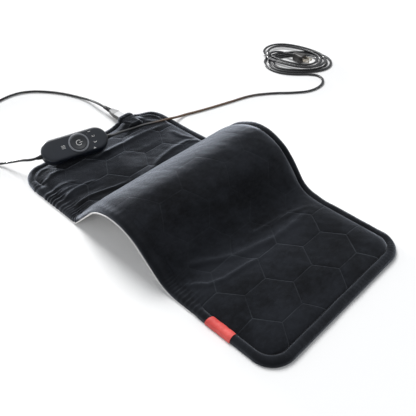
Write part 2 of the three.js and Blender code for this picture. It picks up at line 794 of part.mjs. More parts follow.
function stadiumRing(inset, height) {
  const ring = [];
  const radius = controllerWidth / 2 - inset;
  const straight = (controllerLength - controllerWidth) / 2;
  for (const [end, from] of [[straight, -Math.PI / 2], [-straight, Math.PI / 2]]) {
    for (let k = 0; k <= stadiumSteps; k += 1) {
      const angle = from + k / stadiumSteps * Math.PI;
      ring.push(new THREE.Vector3(end + radius * Math.cos(angle), radius * Math.sin(angle), height));
    }
  }
  return ring;
}

// Rings of a half shell from its open rim to its closed face, in the direction of the sign
function shellRings(wall, straight, roundInset, roundHeight, sign, steps) {
  const rings = [stadiumRing(wall, 0)];
  for (let k = 0; k <= steps; k += 1) {
    const angle = k / steps * Math.PI / 2;
    const inset = wall + roundInset * (1 - Math.cos(angle));
    rings.push(stadiumRing(inset, sign * (straight + roundHeight * Math.sin(angle))));
  }
  return rings;
}

function halfShell(outer, inner) {
  const points = [...outer, ...inner].flat();
  const n = outer[0].length;
  const triangles = [];
  const band = (a, b, turnedIn) => {
    for (let k = 0; k < n; k += 1) {
      const k2 = (k + 1) % n;
      const quad = [[a * n + k, a * n + k2, b * n + k2], [a * n + k, b * n + k2, b * n + k]];
      triangles.push(...(turnedIn ? quad.map(([p, q, r]) => [p, r, q]) : quad));
    }
  };
  const cap = (a, turnedIn) => {
    for (let k = 1; k < n - 1; k += 1) {
      triangles.push(turnedIn ? [a * n, a * n + k + 1, a * n + k] : [a * n, a * n + k, a * n + k + 1]);
    }
  };
  for (let i = 0; i < outer.length - 1; i += 1) band(i, i + 1, false);
  cap(outer.length - 1, false);
  for (let i = outer.length; i < outer.length + inner.length - 1; i += 1) band(i, i + 1, true);
  cap(outer.length + inner.length - 1, true);
  band(0, outer.length, true);
  return closedSurface(points, triangles);
}

const faceHeight = upperWallHeight + upperEdgeRadius;
const faceInside = faceHeight - controllerWall;
const bellyHeight = lowerWallHeight + bellyDepth;
const bellyInside = bellyHeight - controllerWall;
const boardTop = -boardDrop;
const boardBottom = boardTop - boardThickness;
const buttonHole = buttonRadius + buttonClearance;
const guideRadius = guidePostRadius + seatGap;
const markPlaces = markAngles.map((angle) => [
  buttonOffset + markArcRadius * Math.cos(angle * degrees),
  markArcRadius * Math.sin(angle * degrees),
]);
const screwPlace = controllerLength / 2 - screwFromEnd;
const screwPlaces = [-screwPlace, screwPlace];
const screwHole = screwShankRadius + seatGap;
const headHole = screwHeadRadius + seatGap;
const bossRadius = screwHole + bossWall;
const postRadius = headHole + bossWall;
const headSeat = -bellyHeight + screwHeadHeight + 2 * seatGap;
const atPlace = (geometry, x, y) => geometry.translate(x, y, 0);

const upperOuter = shellRings(0, upperWallHeight, upperEdgeRadius, upperEdgeRadius, 1, 4);
const innerEdge = upperEdgeRadius - controllerWall;
const upperInner = shellRings(controllerWall, upperWallHeight, innerEdge, innerEdge, 1, 3);
const lowerOuter = shellRings(0, lowerWallHeight, bellyInset, bellyDepth, -1, 5);
const lowerInner = shellRings(
  controllerWall, lowerWallHeight, bellyInset - controllerWall, bellyDepth - controllerWall, -1, 4,
);

const controllerLow = Math.min(...lowerOuter.flat().map((p) =>
  p.y * Math.sin(controllerRoll) + p.z * Math.cos(controllerRoll)));
const controllerHeight = coverTop + seatGap - controllerLow;

const controllerPlace = new THREE.Group();
controllerPlace.position.set(controllerFromFarEdge, controllerFromNearEdge, controllerHeight);
controllerPlace.rotation.z = controllerTurn;
const controller = new THREE.Group();
controller.rotation.x = controllerRoll;
controllerPlace.add(controller);

const neckHole = grommetNeckRadius + seatGap;
const neckStart = controllerLength / 2 - grommetFlangeRadius;
const cordHoles = [
  barX(neckHole, neckStart, controllerLength, 0, 16),
  barX(neckHole, -controllerLength, -neckStart, 0, 16),
];

const atScrews = (radius, low, high) => screwPlaces.map((x) => atPlace(barZ(radius, low, high), x, 0));
const atMarks = (radius, low, high) => markPlaces.map(([x, y]) => atPlace(barZ(radius, low, high, 10), x, y));
const upperBosses = atScrews(bossRadius, boardTop + seatGap, faceInside + 1);
const upperPilots = atScrews(screwHole, boardTop - 1, screwGrip + seatGap);
const upperWindows = atMarks(guideRadius, faceInside - 1, faceHeight + 1);
const buttonBore = barZ(buttonHole, faceInside - 1, faceHeight + 1, 24);
const upperHalf = halfShell(upperOuter, upperInner).translate(0, 0, seatGap / 2);
add(controller, 'upper_shell', cut(
  join(upperHalf, ...upperBosses), atPlace(buttonBore, buttonOffset, 0),
  ...upperWindows, ...upperPilots, ...cordHoles,
), 0x3a3d42, 0.55);

const lowerPosts = atScrews(postRadius, -bellyInside - 1, boardBottom - seatGap);
const lowerHoles = atScrews(screwHole, -bellyHeight - 1, boardTop);
const headHoles = atScrews(headHole, -bellyHeight - 1, headSeat);
const lowerHalf = halfShell(lowerOuter, lowerInner).translate(0, 0, -seatGap / 2);
add(controller, 'lower_shell', cut(
  join(lowerHalf, ...lowerPosts), ...lowerHoles, ...headHoles, ...cordHoles,
), 0x35383d, 0.55);

screwPlaces.forEach((x, index) => {
  const head = headSeat - seatGap;
  const screw = turned([
    [0, head - screwHeadHeight], [screwHeadRadius, head - screwHeadHeight], [screwHeadRadius, head],
    [screwShankRadius, head], [screwShankRadius, screwGrip], [0, screwGrip],
  ], 12);
  add(controller, `case_screw_${index + 1}`, atPlace(screw, x, 0), 0x8a8d90, 0.35, 1);
});

const boardLength = controllerLength - 2 * boardEndRoom;
const boardShape = roundedRectangle(boardLength, boardWidth, boardCorner);
const boardHoles = atScrews(screwHole, boardBottom - 1, boardTop + 1);
const boardSettings = { depth: boardThickness, bevelEnabled: false, curveSegments: 2 };
const board = new THREE.ExtrudeGeometry(boardShape, boardSettings).translate(0, 0, boardBottom);
add(controller, 'circuit_board', cut(board, ...boardHoles), 0x2f6a45, 0.5);

// A part soldered to the board, as a block over a place on it
const onBoard = ([length, width, height], [x, y]) => boxBetween(
  [x - length / 2, y - width / 2, boardTop + seatGap],
  [x + length / 2, y + width / 2, boardTop + seatGap + height],
);
const buttonPlace = [buttonOffset, 0];
const switchTop = boardTop + seatGap + switchHeight;
const plungerTop = switchTop + plungerProud;
const plungerLow = plungerTop - plungerLength;
const plungerHole = barZ(plungerRadius + seatGap, plungerLow - buttonTravel - seatGap, switchTop + 1);
const switchBlock = onBoard([switchSide, switchSide, switchHeight], buttonPlace);
const plunger = barZ(plungerRadius, plungerLow, plungerTop, 12);
add(controller, 'switch_body', cut(switchBlock, atPlace(plungerHole, ...buttonPlace)), 0x1c1c1e, 0.5);
add(controller, 'switch_plunger', atPlace(plunger, ...buttonPlace), 0xe6e4dd, 0.4);

const flangeTop = faceInside - seatGap;
const flangeLow = flangeTop - buttonFlangeThickness;
const flangeRadius = buttonRadius + buttonFlange;
const rimTop = faceHeight + buttonRimHeight;
const button = turned([
  [0, plungerTop + seatGap], [buttonStemRadius, plungerTop + seatGap], [buttonStemRadius, flangeLow],
  [flangeRadius, flangeLow], [flangeRadius, flangeTop], [buttonRadius, flangeTop],
  [buttonRadius, rimTop - buttonEdge], [buttonRadius - buttonEdge, rimTop],
  [buttonRadius - 2.5 * buttonEdge, rimTop - buttonDish * 0.15],
  [buttonRadius - 6 * buttonEdge, rimTop - buttonDish * 0.65], [buttonRadius / 2, rimTop - buttonDish * 0.95],
  [0, rimTop - buttonDish],
]);
add(controller, 'power_button', atPlace(button, ...buttonPlace), 0x2b2d31, 0.6);

const ringLow = faceHeight + seatGap;
const ringOuter = buttonHole + ringWidth;
const buttonRing = turned([
  [buttonHole, ringLow], [ringOuter, ringLow], [ringOuter - ringEdge / 4, ringLow + ringHeight * 0.6],
  [ringOuter - ringEdge, ringLow + ringHeight], [buttonHole + ringEdge, ringLow + ringHeight],
  [buttonHole, ringLow + ringHeight * 0.7], [buttonHole, ringLow],
]);
add(controller, 'button_ring', atPlace(buttonRing, ...buttonPlace), 0x474a50, 0.4);

const guideShape = new THREE.Shape();
guideShape.absarc(0, 0, markArcRadius + guideWidth / 2, -guideHalfAngle, guideHalfAngle, false);
guideShape.absarc(0, 0, markArcRadius - guideWidth / 2, guideHalfAngle, -guideHalfAngle, true);
const guideTop = faceInside - seatGap;
const guideSettings = { depth: guideThickness, bevelEnabled: false, curveSegments: 8 };
const guideBar = new THREE.ExtrudeGeometry(guideShape, guideSettings);
const guidePosts = atMarks(guidePostRadius, guideTop - 1, faceHeight + seatGap);
add(controller, 'light_guide', join(
  guideBar.translate(buttonOffset, 0, guideTop - guideThickness), ...guidePosts,
), 0xe9eaea, 0.25);
markPlaces.forEach((place, index) => {
  add(controller, `lamp_${index + 1}`, onBoard([lampSide, lampSide, lampHeight], place), 0xf2ede0, 0.3);
});

add(controller, 'triac', onBoard(triacSize, triacPlace), 0x1f1f22, 0.5);
add(controller, 'film_capacitor', onBoard(capacitorSize, capacitorPlace), 0xb9813a, 0.4);
const fuse = barX(fuseRadius, -fuseLength / 2, fuseLength / 2, 0);
add(controller, 'fuse', fuse.translate(...fusePlace, boardTop + seatGap + fuseRadius), 0xb8c4c8, 0.2);

function grommet() {
  const endRadius = controllerWidth / 2 - controllerWall;
  const facetSag = endRadius * (1 - Math.cos(Math.PI / (2 * stadiumSteps)));
  const endCentre = (controllerLength - controllerWidth) / 2;
  const flangeEnd = endCentre + Math.sqrt(endRadius ** 2 - grommetFlangeRadius ** 2) - facetSag - seatGap;
  const outside = controllerLength / 2 + seatGap;
  return turned([
    [0, flangeEnd - grommetFlangeLength], [grommetFlangeRadius, flangeEnd - grommetFlangeLength],
    [grommetFlangeRadius, flangeEnd], [grommetNeckRadius, flangeEnd], [grommetNeckRadius, outside],
    [grommetRadius, outside], [grommetRadius, outside + grommetLength / 3],
    [grommetTipRadius, outside + grommetLength], [0, outside + grommetLength],
  ], 16).rotateY(Math.PI / 2);
}
add(controller, 'cord_grommet', grommet(), 0x232427, 0.6);
add(controller, 'lead_grommet', grommet().rotateZ(Math.PI), 0x232427, 0.6);

// Free cords

const cords = new THREE.Group();

// A cord through a list of points, evenly stepped along its length
function cordAlong(list, width, height, steps) {
  const path = new THREE.CatmullRomCurve3(list.map((p) => new THREE.Vector3(...p)), false, 'centripetal');
  const section = tubeSection(width, height, cordSides);
  const shape = new THREE.Shape(section.map(([w, h]) => new THREE.Vector2(h, w)));
  return new THREE.ExtrudeGeometry(shape, { steps, extrudePath: path, bevelEnabled: false });
}

const leadEnd = [connectorRear - 2 * seatGap - connectorReliefLength, socketFromNearEdge, socketAxis];
const lead = cordAlong([...leadPoints, leadEnd], leadDiameter, leadDiameter, leadSteps);
add(cords, 'pad_lead', lead, 0x232326, 0.55);

// A point of the hank's flat spiral, before its upper layer is swung round
function hankSpiral(turns) {
  const angle = -Math.PI / 2 - turns * 2 * Math.PI;
  const drawnIn = hankPitch * (hankReversal - Math.abs(hankReversal - turns));
  const [long, wide] = [hankHalfLength - drawnIn, hankHalfWidth - drawnIn];
  const stretch = Math.tanh(hankSquareness * Math.cos(angle)) / Math.tanh(hankSquareness);
  return new THREE.Vector2((long - wide) * stretch + wide * Math.cos(angle), wide * Math.sin(angle));
}

// The hank spirals in on the floor, climbs a layer, fans round, spirals out and hooks over to the plug
function hankLine() {
  const line = [];
  const hook = hookExtraTurn / (2 * Math.PI);
  const steps = Math.round((hankLoops + hook) * stepsPerLoop);
  const smooth = (t) => {
    const c = Math.min(1, Math.max(0, t));
    return c * c * (3 - 2 * c);
  };
  const [middle, pivot] = [new THREE.Vector2(), hankSpiral(hankReversal)];
  for (let i = 0; i <= steps; i += 1) {
    const turns = i / stepsPerLoop;
    const climb = smooth((turns - hankReversal) / hankClimb + 0.5);
    const lift = smooth((turns - hankLiftFrom) / hankLiftSpan);
    const swing = hankSwing * smooth((turns - hankReversal) / hankSwingSpan + 0.5);
    const place = hankSpiral(turns).rotateAround(pivot, swing).rotateAround(middle, hankTurn);
    line.push(new THREE.Vector3(
      hankCentre[0] + place.x, hankCentre[1] + place.y,
      cordThickness / 2 + seatGap / 2 + hankLayer * (climb + lift),
    ));
  }
  const last = line[line.length - 1];
  const ahead = new THREE.Vector3().subVectors(last, line[line.length - 2]).setZ(0).normalize();
  const heading = Math.atan2(ahead.y, ahead.x);
  const centre = new THREE.Vector3(ahead.y, -ahead.x, 0).multiplyScalar(hookRadius).add(last);
  const sweep = (heading - plugHeading + 2 * Math.PI) % (2 * Math.PI);
  for (let k = 1; k <= hookSteps; k += 1) {
    const angle = heading + Math.PI / 2 - sweep * k / hookSteps;
    line.push(new THREE.Vector3(Math.cos(angle), Math.sin(angle), 0).multiplyScalar(hookRadius).add(centre));
  }
  const towardsPlug = new THREE.Vector3(Math.cos(plugHeading), Math.sin(plugHeading), 0);
  line.push(line[line.length - 1].clone().addScaledVector(towardsPlug, cordWidth));
  return line;
}

// The least gap between stretches of the hank that aren't neighbours along it
function leastGap(line) {
  const fine = [];
  for (let i = 0; i < line.length - 1; i += 1) {
    for (let k = 0; k < gapSteps; k += 1) fine.push(line[i].clone().lerp(line[i + 1], k / gapSteps));
  }
  let gap = Infinity;
  for (let i = 0; i < fine.length; i += 1) {
    for (let j = i + gapNeighbours; j < fine.length; j += 1) {
      const level = Math.hypot(fine[i].x - fine[j].x, fine[i].y - fine[j].y) - cordWidth;
      const upright = Math.abs(fine[i].z - fine[j].z) - cordThickness;
      gap = Math.min(gap, Math.max(level, upright));
    }
  }
  return gap;
}

const hank = hankLine();
console.log('hank: least gap to itself', leastGap(hank).toFixed(2), 'mm');
add(cords, 'cord_hank', sweptTube(hank, tubeSection(cordWidth, cordThickness, hankSides)), 0x232326, 0.55);

const intoHank = new THREE.Vector3().subVectors(hank[1], hank[0]).normalize();
const beforeHank = (back) => hank[0].clone().addScaledVector(intoHank, -back).toArray();
const cordEnd = [beforeHank(2 * cordWidth), beforeHank(seatGap)];
const mainsCord = cordAlong([...cordPoints, ...cordEnd], cordWidth, cordThickness, cordSteps);
add(cords, 'power_cord', mainsCord, 0x232326, 0.55);

// Plug, lying inside the hank

const plug = new THREE.Group();
plug.position.copy(hank[hank.length - 1]);
plug.rotation.z = plugHeading;
cords.add(plug);
const plugRelief = ribbedRelief(reliefRearRadius, reliefTipRadius, plugReliefLength);
plugRelief.rotateY(-Math.PI / 2).translate(seatGap + plugReliefLength, 0, 0);
add(plug, 'plug_relief', plugRelief, 0x26262a, 0.55);

const plugRear = plugReliefLength + 2 * seatGap;
const plugFront = plugRear + plugLength;
const plugSide = [
  [plugRear, plugRearWidth / 2], [plugRear + plugLength * plugWaist, plugRearWidth / 2],
  [plugFront - plugCorner, plugFrontWidth / 2], [plugFront, plugFrontWidth / 2 - plugCorner / 3],
];
const plugOutline = [...plugSide.map(([x, y]) => [x, -y]), ...[...plugSide].reverse()];
const plugShape = new THREE.Shape(plugOutline.map(([x, y]) => new THREE.Vector2(x, y)));
const plugBlock = new THREE.ExtrudeGeometry(plugShape, {
  depth: plugThickness - 2 * plugBevel, bevelEnabled: true, bevelThickness: plugBevel, bevelSize: plugBevel,
  bevelOffset: -plugBevel, bevelSegments: 1,
}).translate(0, 0, -plugThickness / 2 + plugBevel);
const bladePlaces = [-bladeSpacing / 2, bladeSpacing / 2];
const bladeBox = (y, from, to, room) => boxBetween(
  [from, y - bladeThickness / 2 - room, -bladeWidth / 2 - room],
  [to, y + bladeThickness / 2 + room, bladeWidth / 2 + room],
);
const bladeStart = plugFront - bladeSeat;
const bladeSeats = bladePlaces.map((y) => bladeBox(y, bladeStart - seatGap, plugFront + 1, seatGap));
add(plug, 'plug_body', cut(plugBlock, ...bladeSeats), 0x2a2725, 0.55);
bladePlaces.forEach((y, index) => {
  add(plug, `plug_blade_${index + 1}`, bladeBox(y, bladeStart, plugFront + bladeLength, 0), 0xc8b58a, 0.3, 1);
});

// The middle of the pad's plan, on the floor, is the origin
const heatingPad = new THREE.Group();
heatingPad.add(pad, controllerPlace, cords);
heatingPad.position.set(-planLength / 2, -(padWidth + farSideOut + slopeOut) / 2, 0);
export default heatingPad;
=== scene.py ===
import math

import bmesh
import bpy
import numpy as np
from mathutils import Matrix, Vector


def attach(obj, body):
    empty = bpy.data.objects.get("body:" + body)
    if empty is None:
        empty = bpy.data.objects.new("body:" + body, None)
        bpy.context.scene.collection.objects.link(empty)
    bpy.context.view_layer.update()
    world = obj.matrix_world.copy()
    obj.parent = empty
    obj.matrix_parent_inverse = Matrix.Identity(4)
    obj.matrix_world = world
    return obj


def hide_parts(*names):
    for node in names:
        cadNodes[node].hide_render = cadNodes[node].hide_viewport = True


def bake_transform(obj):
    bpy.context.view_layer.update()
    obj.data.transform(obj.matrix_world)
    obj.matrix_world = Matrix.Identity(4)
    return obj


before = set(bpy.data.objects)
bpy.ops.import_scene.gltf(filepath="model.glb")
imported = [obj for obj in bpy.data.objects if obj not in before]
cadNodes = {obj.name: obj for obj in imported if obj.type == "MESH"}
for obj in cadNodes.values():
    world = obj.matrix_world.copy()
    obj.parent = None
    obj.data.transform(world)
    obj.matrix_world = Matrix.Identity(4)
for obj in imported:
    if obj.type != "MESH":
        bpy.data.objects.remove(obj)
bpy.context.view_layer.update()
mm = 0.001
scene = bpy.context.scene
scene.view_settings.view_transform = "Standard"


# small helpers for shapes
def smoothStep(t):
    t = np.clip(t, 0.0, 1.0)
    return t * t * (3.0 - 2.0 * t)


def ripple(a, b, wavelength, seed, waves=7):
    rng = np.random.default_rng(seed)
    total = np.zeros(np.broadcast(a, b).shape)
    for _ in range(waves):
        turn, phase = rng.uniform(0.0, 2.0 * math.pi, 2)
        pitch = wavelength * rng.uniform(0.7, 1.5)
        total += np.sin((a * math.cos(turn) + b * math.sin(turn)) * 2.0 * math.pi / pitch + phase)
    return total / math.sqrt(waves)


def newPiece(name, points, faces, sharp=38.0):
    mesh = bpy.data.meshes.new(name)
    mesh.from_pydata([tuple(p) for p in np.asarray(points).reshape(-1, 3)], [], faces)
    turned = bmesh.new()
    turned.from_mesh(mesh)
    bmesh.ops.recalc_face_normals(turned, faces=turned.faces)
    turned.to_mesh(mesh)
    turned.free()
    mesh.polygons.foreach_set("use_smooth", [True] * len(mesh.polygons))
    mesh.set_sharp_from_angle(angle=math.radians(sharp))
    piece = bpy.data.objects.new(name, mesh)
    scene.collection.objects.link(piece)
    return piece


def clothMap(piece, along, across):
    # keeps the flat cloth's own coordinates on the mesh, for the weave and the quilting lines
    mesh = piece.data
    layer = mesh.uv_layers.new(name="cloth")
    corners = np.empty(len(mesh.loops), dtype=np.int32)
    mesh.loops.foreach_get("vertex_index", corners)
    flat = np.stack([np.ravel(along)[corners], np.ravel(across)[corners]], -1)
    layer.data.foreach_set("uv", flat.astype(np.float32).ravel())


def loftFaces(rings, sides, loop=False, first=0):
    faces = []
    for r in range(rings if loop else rings - 1):
        a = first + r * sides
        b = first + (r + 1) % rings * sides
        for k in range(sides):
            m = (k + 1) % sides
            faces.append((a + k, a + m, b + m, b + k))
    if not loop:
        faces.append(tuple(range(first + sides - 1, first - 1, -1)))
        faces.append(tuple(range(first + (rings - 1) * sides, first + rings * sides)))
    return faces


def gridFaces(rows, columns, first=0):
    return [
        (first + r * columns + c, first + r * columns + c + 1,
         first + (r + 1) * columns + c + 1, first + (r + 1) * columns + c)
        for r in range(rows - 1) for c in range(columns - 1)
    ]


def gridRim(rows, columns):
    # a grid's outer points, once round
    return ([r * columns for r in range(rows)] + [(rows - 1) * columns + c for c in range(1, columns)]
            + [r * columns + columns - 1 for r in range(rows - 2, -1, -1)] + list(range(columns - 2, 0, -1)))


def shellFaces(rows, columns):
    # two grids, one over the other, closed round the rim
    count = rows * columns
    rim = gridRim(rows, columns)
    faces = gridFaces(rows, columns) + gridFaces(rows, columns, count)
    for at, after in zip(rim, rim[1:] + rim[:1]):
        faces.append((at, after, after + count, at + count))
    return faces


def placed(points, matrix):
    flat = np.asarray(points, dtype=float).reshape(-1, 3)
    turn = np.array(matrix.to_3x3())
    return flat @ turn.T + np.array(matrix.translation)


def squared(wave, squareness):
    # a sine or cosine drawn out towards the corners of a rounded square
    return np.sign(wave) * np.abs(wave) ** (2 / squareness)


def lathed(profile, steps, axis="z"):
    # a turned shape from (radius, place on the axis) pairs, with flat ends
    angles = np.arange(steps) * 2.0 * math.pi / steps
    rings = []
    for radius, lift in profile:
        ring = np.stack([radius * np.cos(angles), radius * np.sin(angles), np.full(steps, lift)], -1)
        rings.append(ring if axis == "z" else ring[:, [2, 0, 1]])
    return np.array(rings), loftFaces(len(profile), steps)


def joined(parts):
    points, faces, count = [], [], 0
    for partPoints, partFaces in parts:
        flat = np.asarray(partPoints).reshape(-1, 3)
        points.append(flat)
        faces += [tuple(v + count for v in face) for face in partFaces]
        count += len(flat)
    return np.concatenate(points), faces


def smoothRoute(points, step, spanSteps=24):
    # the centripetal curve through the points, at an even spacing
    p = np.array(points, dtype=float)
    p = np.concatenate([[2 * p[0] - p[1]], p, [2 * p[-1] - p[-2]]])
    fine = []
    for i in range(1, len(p) - 2):
        d0, d1, d2 = (math.sqrt(np.linalg.norm(p[i + k] - p[i + k - 1])) for k in (0, 1, 2))
        out = (p[i] - p[i - 1]) / d0 - (p[i + 1] - p[i - 1]) / (d0 + d1) + (p[i + 1] - p[i]) / d1
        into = (p[i + 1] - p[i]) / d1 - (p[i + 2] - p[i]) / (d1 + d2) + (p[i + 2] - p[i + 1]) / d2
        t = np.linspace(0.0, 1.0, spanSteps, endpoint=False)[:, None]
        fine.append((2 * t**3 - 3 * t**2 + 1) * p[i] + (t**3 - 2 * t**2 + t) * out * d1
                    + (3 * t**2 - 2 * t**3) * p[i + 1] + (t**3 - t**2) * into * d1)
    return evenly(np.concatenate(fine + [p[-2:-1]]), step)


def evenly(line, step):
    gone = np.concatenate([[0.0], np.cumsum(np.linalg.norm(np.diff(line, axis=0), axis=1))])
    at = np.linspace(0.0, gone[-1], max(2, int(round(gone[-1] / step)) + 1))
    return np.stack([np.interp(at, gone, line[:, k]) for k in range(3)], -1)


def sweptTube(path, sections):
    # sections are (across, up) pairs, kept level across the route
    ahead = np.gradient(path, axis=0)
    ahead /= np.linalg.norm(ahead, axis=1)[:, None]
    side = np.cross(ahead, [0.0, 0.0, 1.0])
    side /= np.linalg.norm(side, axis=1)[:, None]
    up = np.cross(side, ahead)
    sections = np.broadcast_to(sections, (len(path),) + np.shape(sections)[-2:])
    points = path[:, None] + sections[..., :1] * side[:, None] + sections[..., 1:] * up[:, None]
    return points, loftFaces(len(path), sections.shape[1])


def cutOut(piece, tool):
    cut = piece.modifiers.new("cut", "BOOLEAN")
    cut.operation = "DIFFERENCE"
    cut.solver = "EXACT"
    cut.object = tool
    bpy.context.view_layer.update()
    whole = piece.data
    piece.data = bpy.data.meshes.new_from_object(piece.evaluated_get(bpy.context.evaluated_depsgraph_get()))
    piece.modifiers.clear()
    bpy.data.meshes.remove(whole)
    bpy.data.objects.remove(tool)


def keep(piece, body, slotName, finish, *nodes):
    # one call for what every piece needs
    piece.data.materials.clear()
    piece.data.materials.append(finish)
    if body:
        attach(piece, body)
    if nodes:
        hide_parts(*nodes)
    return piece


# small helpers for materials
def newFinish(name, roughness, metallic=0.0, **sockets):
    finish = bpy.data.materials.new(name)
    finish.use_nodes = True
    shader = finish.node_tree.nodes["Principled BSDF"]
    shader.inputs["Roughness"].default_value = roughness
    shader.inputs["Metallic"].default_value = metallic
    for socket, value in sockets.items():
        shader.inputs[socket].default_value = value
    return finish, finish.node_tree, shader


def addNode(tree, kind, links=(), **values):
    node = tree.nodes.new("ShaderNode" + kind)
    for key, value in values.items():
        if hasattr(node, key):
            setattr(node, key, value)
        else:
            node.inputs[key].default_value = value
    for socket, source in links:
        tree.links.new(source, node.inputs[socket])
    return node


def calc(tree, operation, *values):
    node = tree.nodes.new("ShaderNodeMath")
    node.operation = operation
    for k, value in enumerate(values):
        if isinstance(value, (int, float)):
            node.inputs[k].default_value = value
        else:
            tree.links.new(value, node.inputs[k])
    return node.outputs[0]


def spread(tree, source, low, high, toLow, toHigh, smooth=True):
    node = tree.nodes.new("ShaderNodeMapRange")
    node.interpolation_type = "SMOOTHSTEP" if smooth else "LINEAR"
    for k, value in enumerate((low, high, toLow, toHigh)):
        node.inputs[k + 1].default_value = value
    tree.links.new(source, node.inputs[0])
    return node.outputs[0]


def shades(tree, share, dark, light):
    node = tree.nodes.new("ShaderNodeMix")
    node.data_type = "RGBA"
    for k, value in ((6, dark), (7, light)):
        if isinstance(value, tuple):
            node.inputs[k].default_value = (*value, 1.0)
        else:
            tree.links.new(value, node.inputs[k])
    tree.links.new(share, node.inputs[0])
    return node.outputs[2]


def speckle(tree, scale, detail=3.0, stretch=(1.0, 1.0, 1.0), roughness=0.55):
    place = addNode(tree, "TexCoord")
    scaled = addNode(tree, "Mapping", [("Vector", place.outputs["Object"])], Scale=stretch)
    grain = addNode(tree, "TexNoise", [("Vector", scaled.outputs[0])],
                    Scale=scale, Detail=detail, Roughness=roughness)
    return grain.outputs[0]


def bumped(tree, shader, height, distance, strength=1.0):
    bump = addNode(tree, "Bump", [("Height", height)], Distance=distance, Strength=strength)
    tree.links.new(bump.outputs[0], shader.inputs["Normal"])


def moulded(name, dark, light, roughness, grain=1400.0, depth=0.00006, **sockets):
    # moulded plastic: a fine spark texture, faint cloudiness and rubbed patches
    finish, tree, shader = newFinish(name, roughness, **sockets)
    fine = speckle(tree, grain, 2.0)
    broad = speckle(tree, 38.0, 4.0)
    tree.links.new(shades(tree, spread(tree, broad, 0.3, 0.7, 0.0, 1.0), dark, light),
                   shader.inputs["Base Color"])
    tree.links.new(spread(tree, broad, 0.25, 0.75, roughness + 0.07, roughness - 0.07),
                   shader.inputs["Roughness"])
    bumped(tree, shader, fine, depth)
    return finish


def turnedMetal(name, dark, light, roughness):
    finish, tree, shader = newFinish(name, roughness, 1.0)
    fine = speckle(tree, 900.0, 3.0, (1.0, 1.0, 0.08))
    broad = speckle(tree, 120.0, 3.0)
    tree.links.new(shades(tree, broad, dark, light), shader.inputs["Base Color"])
    tree.links.new(spread(tree, fine, 0.3, 0.7, roughness - 0.08, roughness + 0.1),
                   shader.inputs["Roughness"])
    bumped(tree, shader, fine, 0.00002)
    return finish


# the camera of the photograph
cameraView = {
    "place": (0.4892, -0.49165, 0.61325), "turn": (48.62, 0.0, 43.85), "lens": 49.43, "sensor": 36.0,
    "nearest": 0.01,
}


def makeCamera():
    lens = bpy.data.cameras.new("photoCamera")
    lens.lens = cameraView["lens"]
    lens.sensor_width = cameraView["sensor"]
    lens.clip_start = cameraView["nearest"]
    camera = bpy.data.objects.new("photoCamera", lens)
    camera.location = cameraView["place"]
    camera.rotation_euler = [math.radians(a) for a in cameraView["turn"]]
    scene.collection.objects.link(camera)
    scene.camera = camera


makeCamera()
print("camera in place")


# the pad's lie: flat behind, an arch, flat in front; along runs from the connector's short edge
padLie = {
    "length": 610 * mm, "width": 305 * mm, "corner": 38 * mm,
    "farFlat": 156.5 * mm, "valleyRadius": 20 * mm, "riseAngle": 46.3, "riseRun": 54.7 * mm,
    "crestRadius": 77.4 * mm, "fallAngle": 42.5, "footRadius": 62.9 * mm,
    "farSideRise": 0.18, "farSideLean": 15 * mm, "samples": 6101,
    "farSideOut": 6 * mm, "outFrom": 180 * mm, "outFull": 290 * mm,
    "slopeOut": 8 * mm, "slopeOutAt": 390 * mm, "slopeOutReach": 85 * mm,
}


def layArch():
    rise, fall = math.radians(padLie["riseAngle"]), math.radians(padLie["fallAngle"])
    valley, crest, foot = padLie["valleyRadius"], padLie["crestRadius"], padLie["footRadius"]
    riseHeight = valley * (1 - math.cos(rise)) + padLie["riseRun"] * math.sin(rise)
    crestDrop = crest * (math.cos(fall) - math.cos(rise))
    footHeight = foot * (1 - math.cos(fall))
    fallRun = (riseHeight + crestDrop - footHeight) / math.sin(fall)
    runs = [padLie["farFlat"], valley * rise, padLie["riseRun"], crest * (rise + fall), fallRun, foot * fall]
    knots = np.concatenate([[0.0], np.cumsum(runs), [padLie["length"]]])
    leans = np.array([0.0, 0.0, rise, rise, -fall, -fall, 0.0, 0.0])
    along = np.linspace(0.0, padLie["length"], padLie["samples"])
    lean = np.interp(along, knots, leans)
    halfway = np.interp((along[1:] + along[:-1]) / 2, knots, leans)
    step = along[1] - along[0]
    x = np.concatenate([[0.0], np.cumsum(np.cos(halfway)) * step])
    z = np.maximum(np.concatenate([[0.0], np.cumsum(np.sin(halfway)) * step]), 0.0)
    return along, x, z, lean


archAlong, archX, archZ, archLean = layArch()
farSideMost = padLie["farSideOut"] + padLie["slopeOut"]
# from the pad's corner to the row's origin
edgeShift = np.array([-archX[-1] / 2, -(padLie["width"] + farSideMost) / 2, 0.0])


def fromEdge(points):
    return np.array(points, dtype=float) * mm + edgeShift


def farEdgeOut(along):
    # the far long edge lies further out in front of the crest, most of all on the slope
    front = np.clip((along - padLie["outFrom"]) / (padLie["outFull"] - padLie["outFrom"]), 0.0, 1.0)
    away = np.minimum(1.0, np.abs(along - padLie["slopeOutAt"]) / padLie["slopeOutReach"])
    return padLie["farSideOut"] * front ** 2 * (3 - 2 * front) + padLie["slopeOut"] * (1 - away ** 2) ** 2


def onPad(along, across, height):
    # a point at that height over the pad's underside
    share = across / padLie["width"]
    x, z, lean = (np.interp(along, archAlong, line) for line in (archX, archZ, archLean))
    x = x + along - np.clip(along, 0.0, padLie["length"])
    x = x + padLie["farSideLean"] * share * z / archZ.max() - height * np.sin(lean)
    z = z * (1.0 + padLie["farSideRise"] * share) + height * np.cos(lean)
    y = across + farEdgeOut(along) * share
    return np.stack([x, np.broadcast_to(y, np.shape(x)), z], -1) + edgeShift


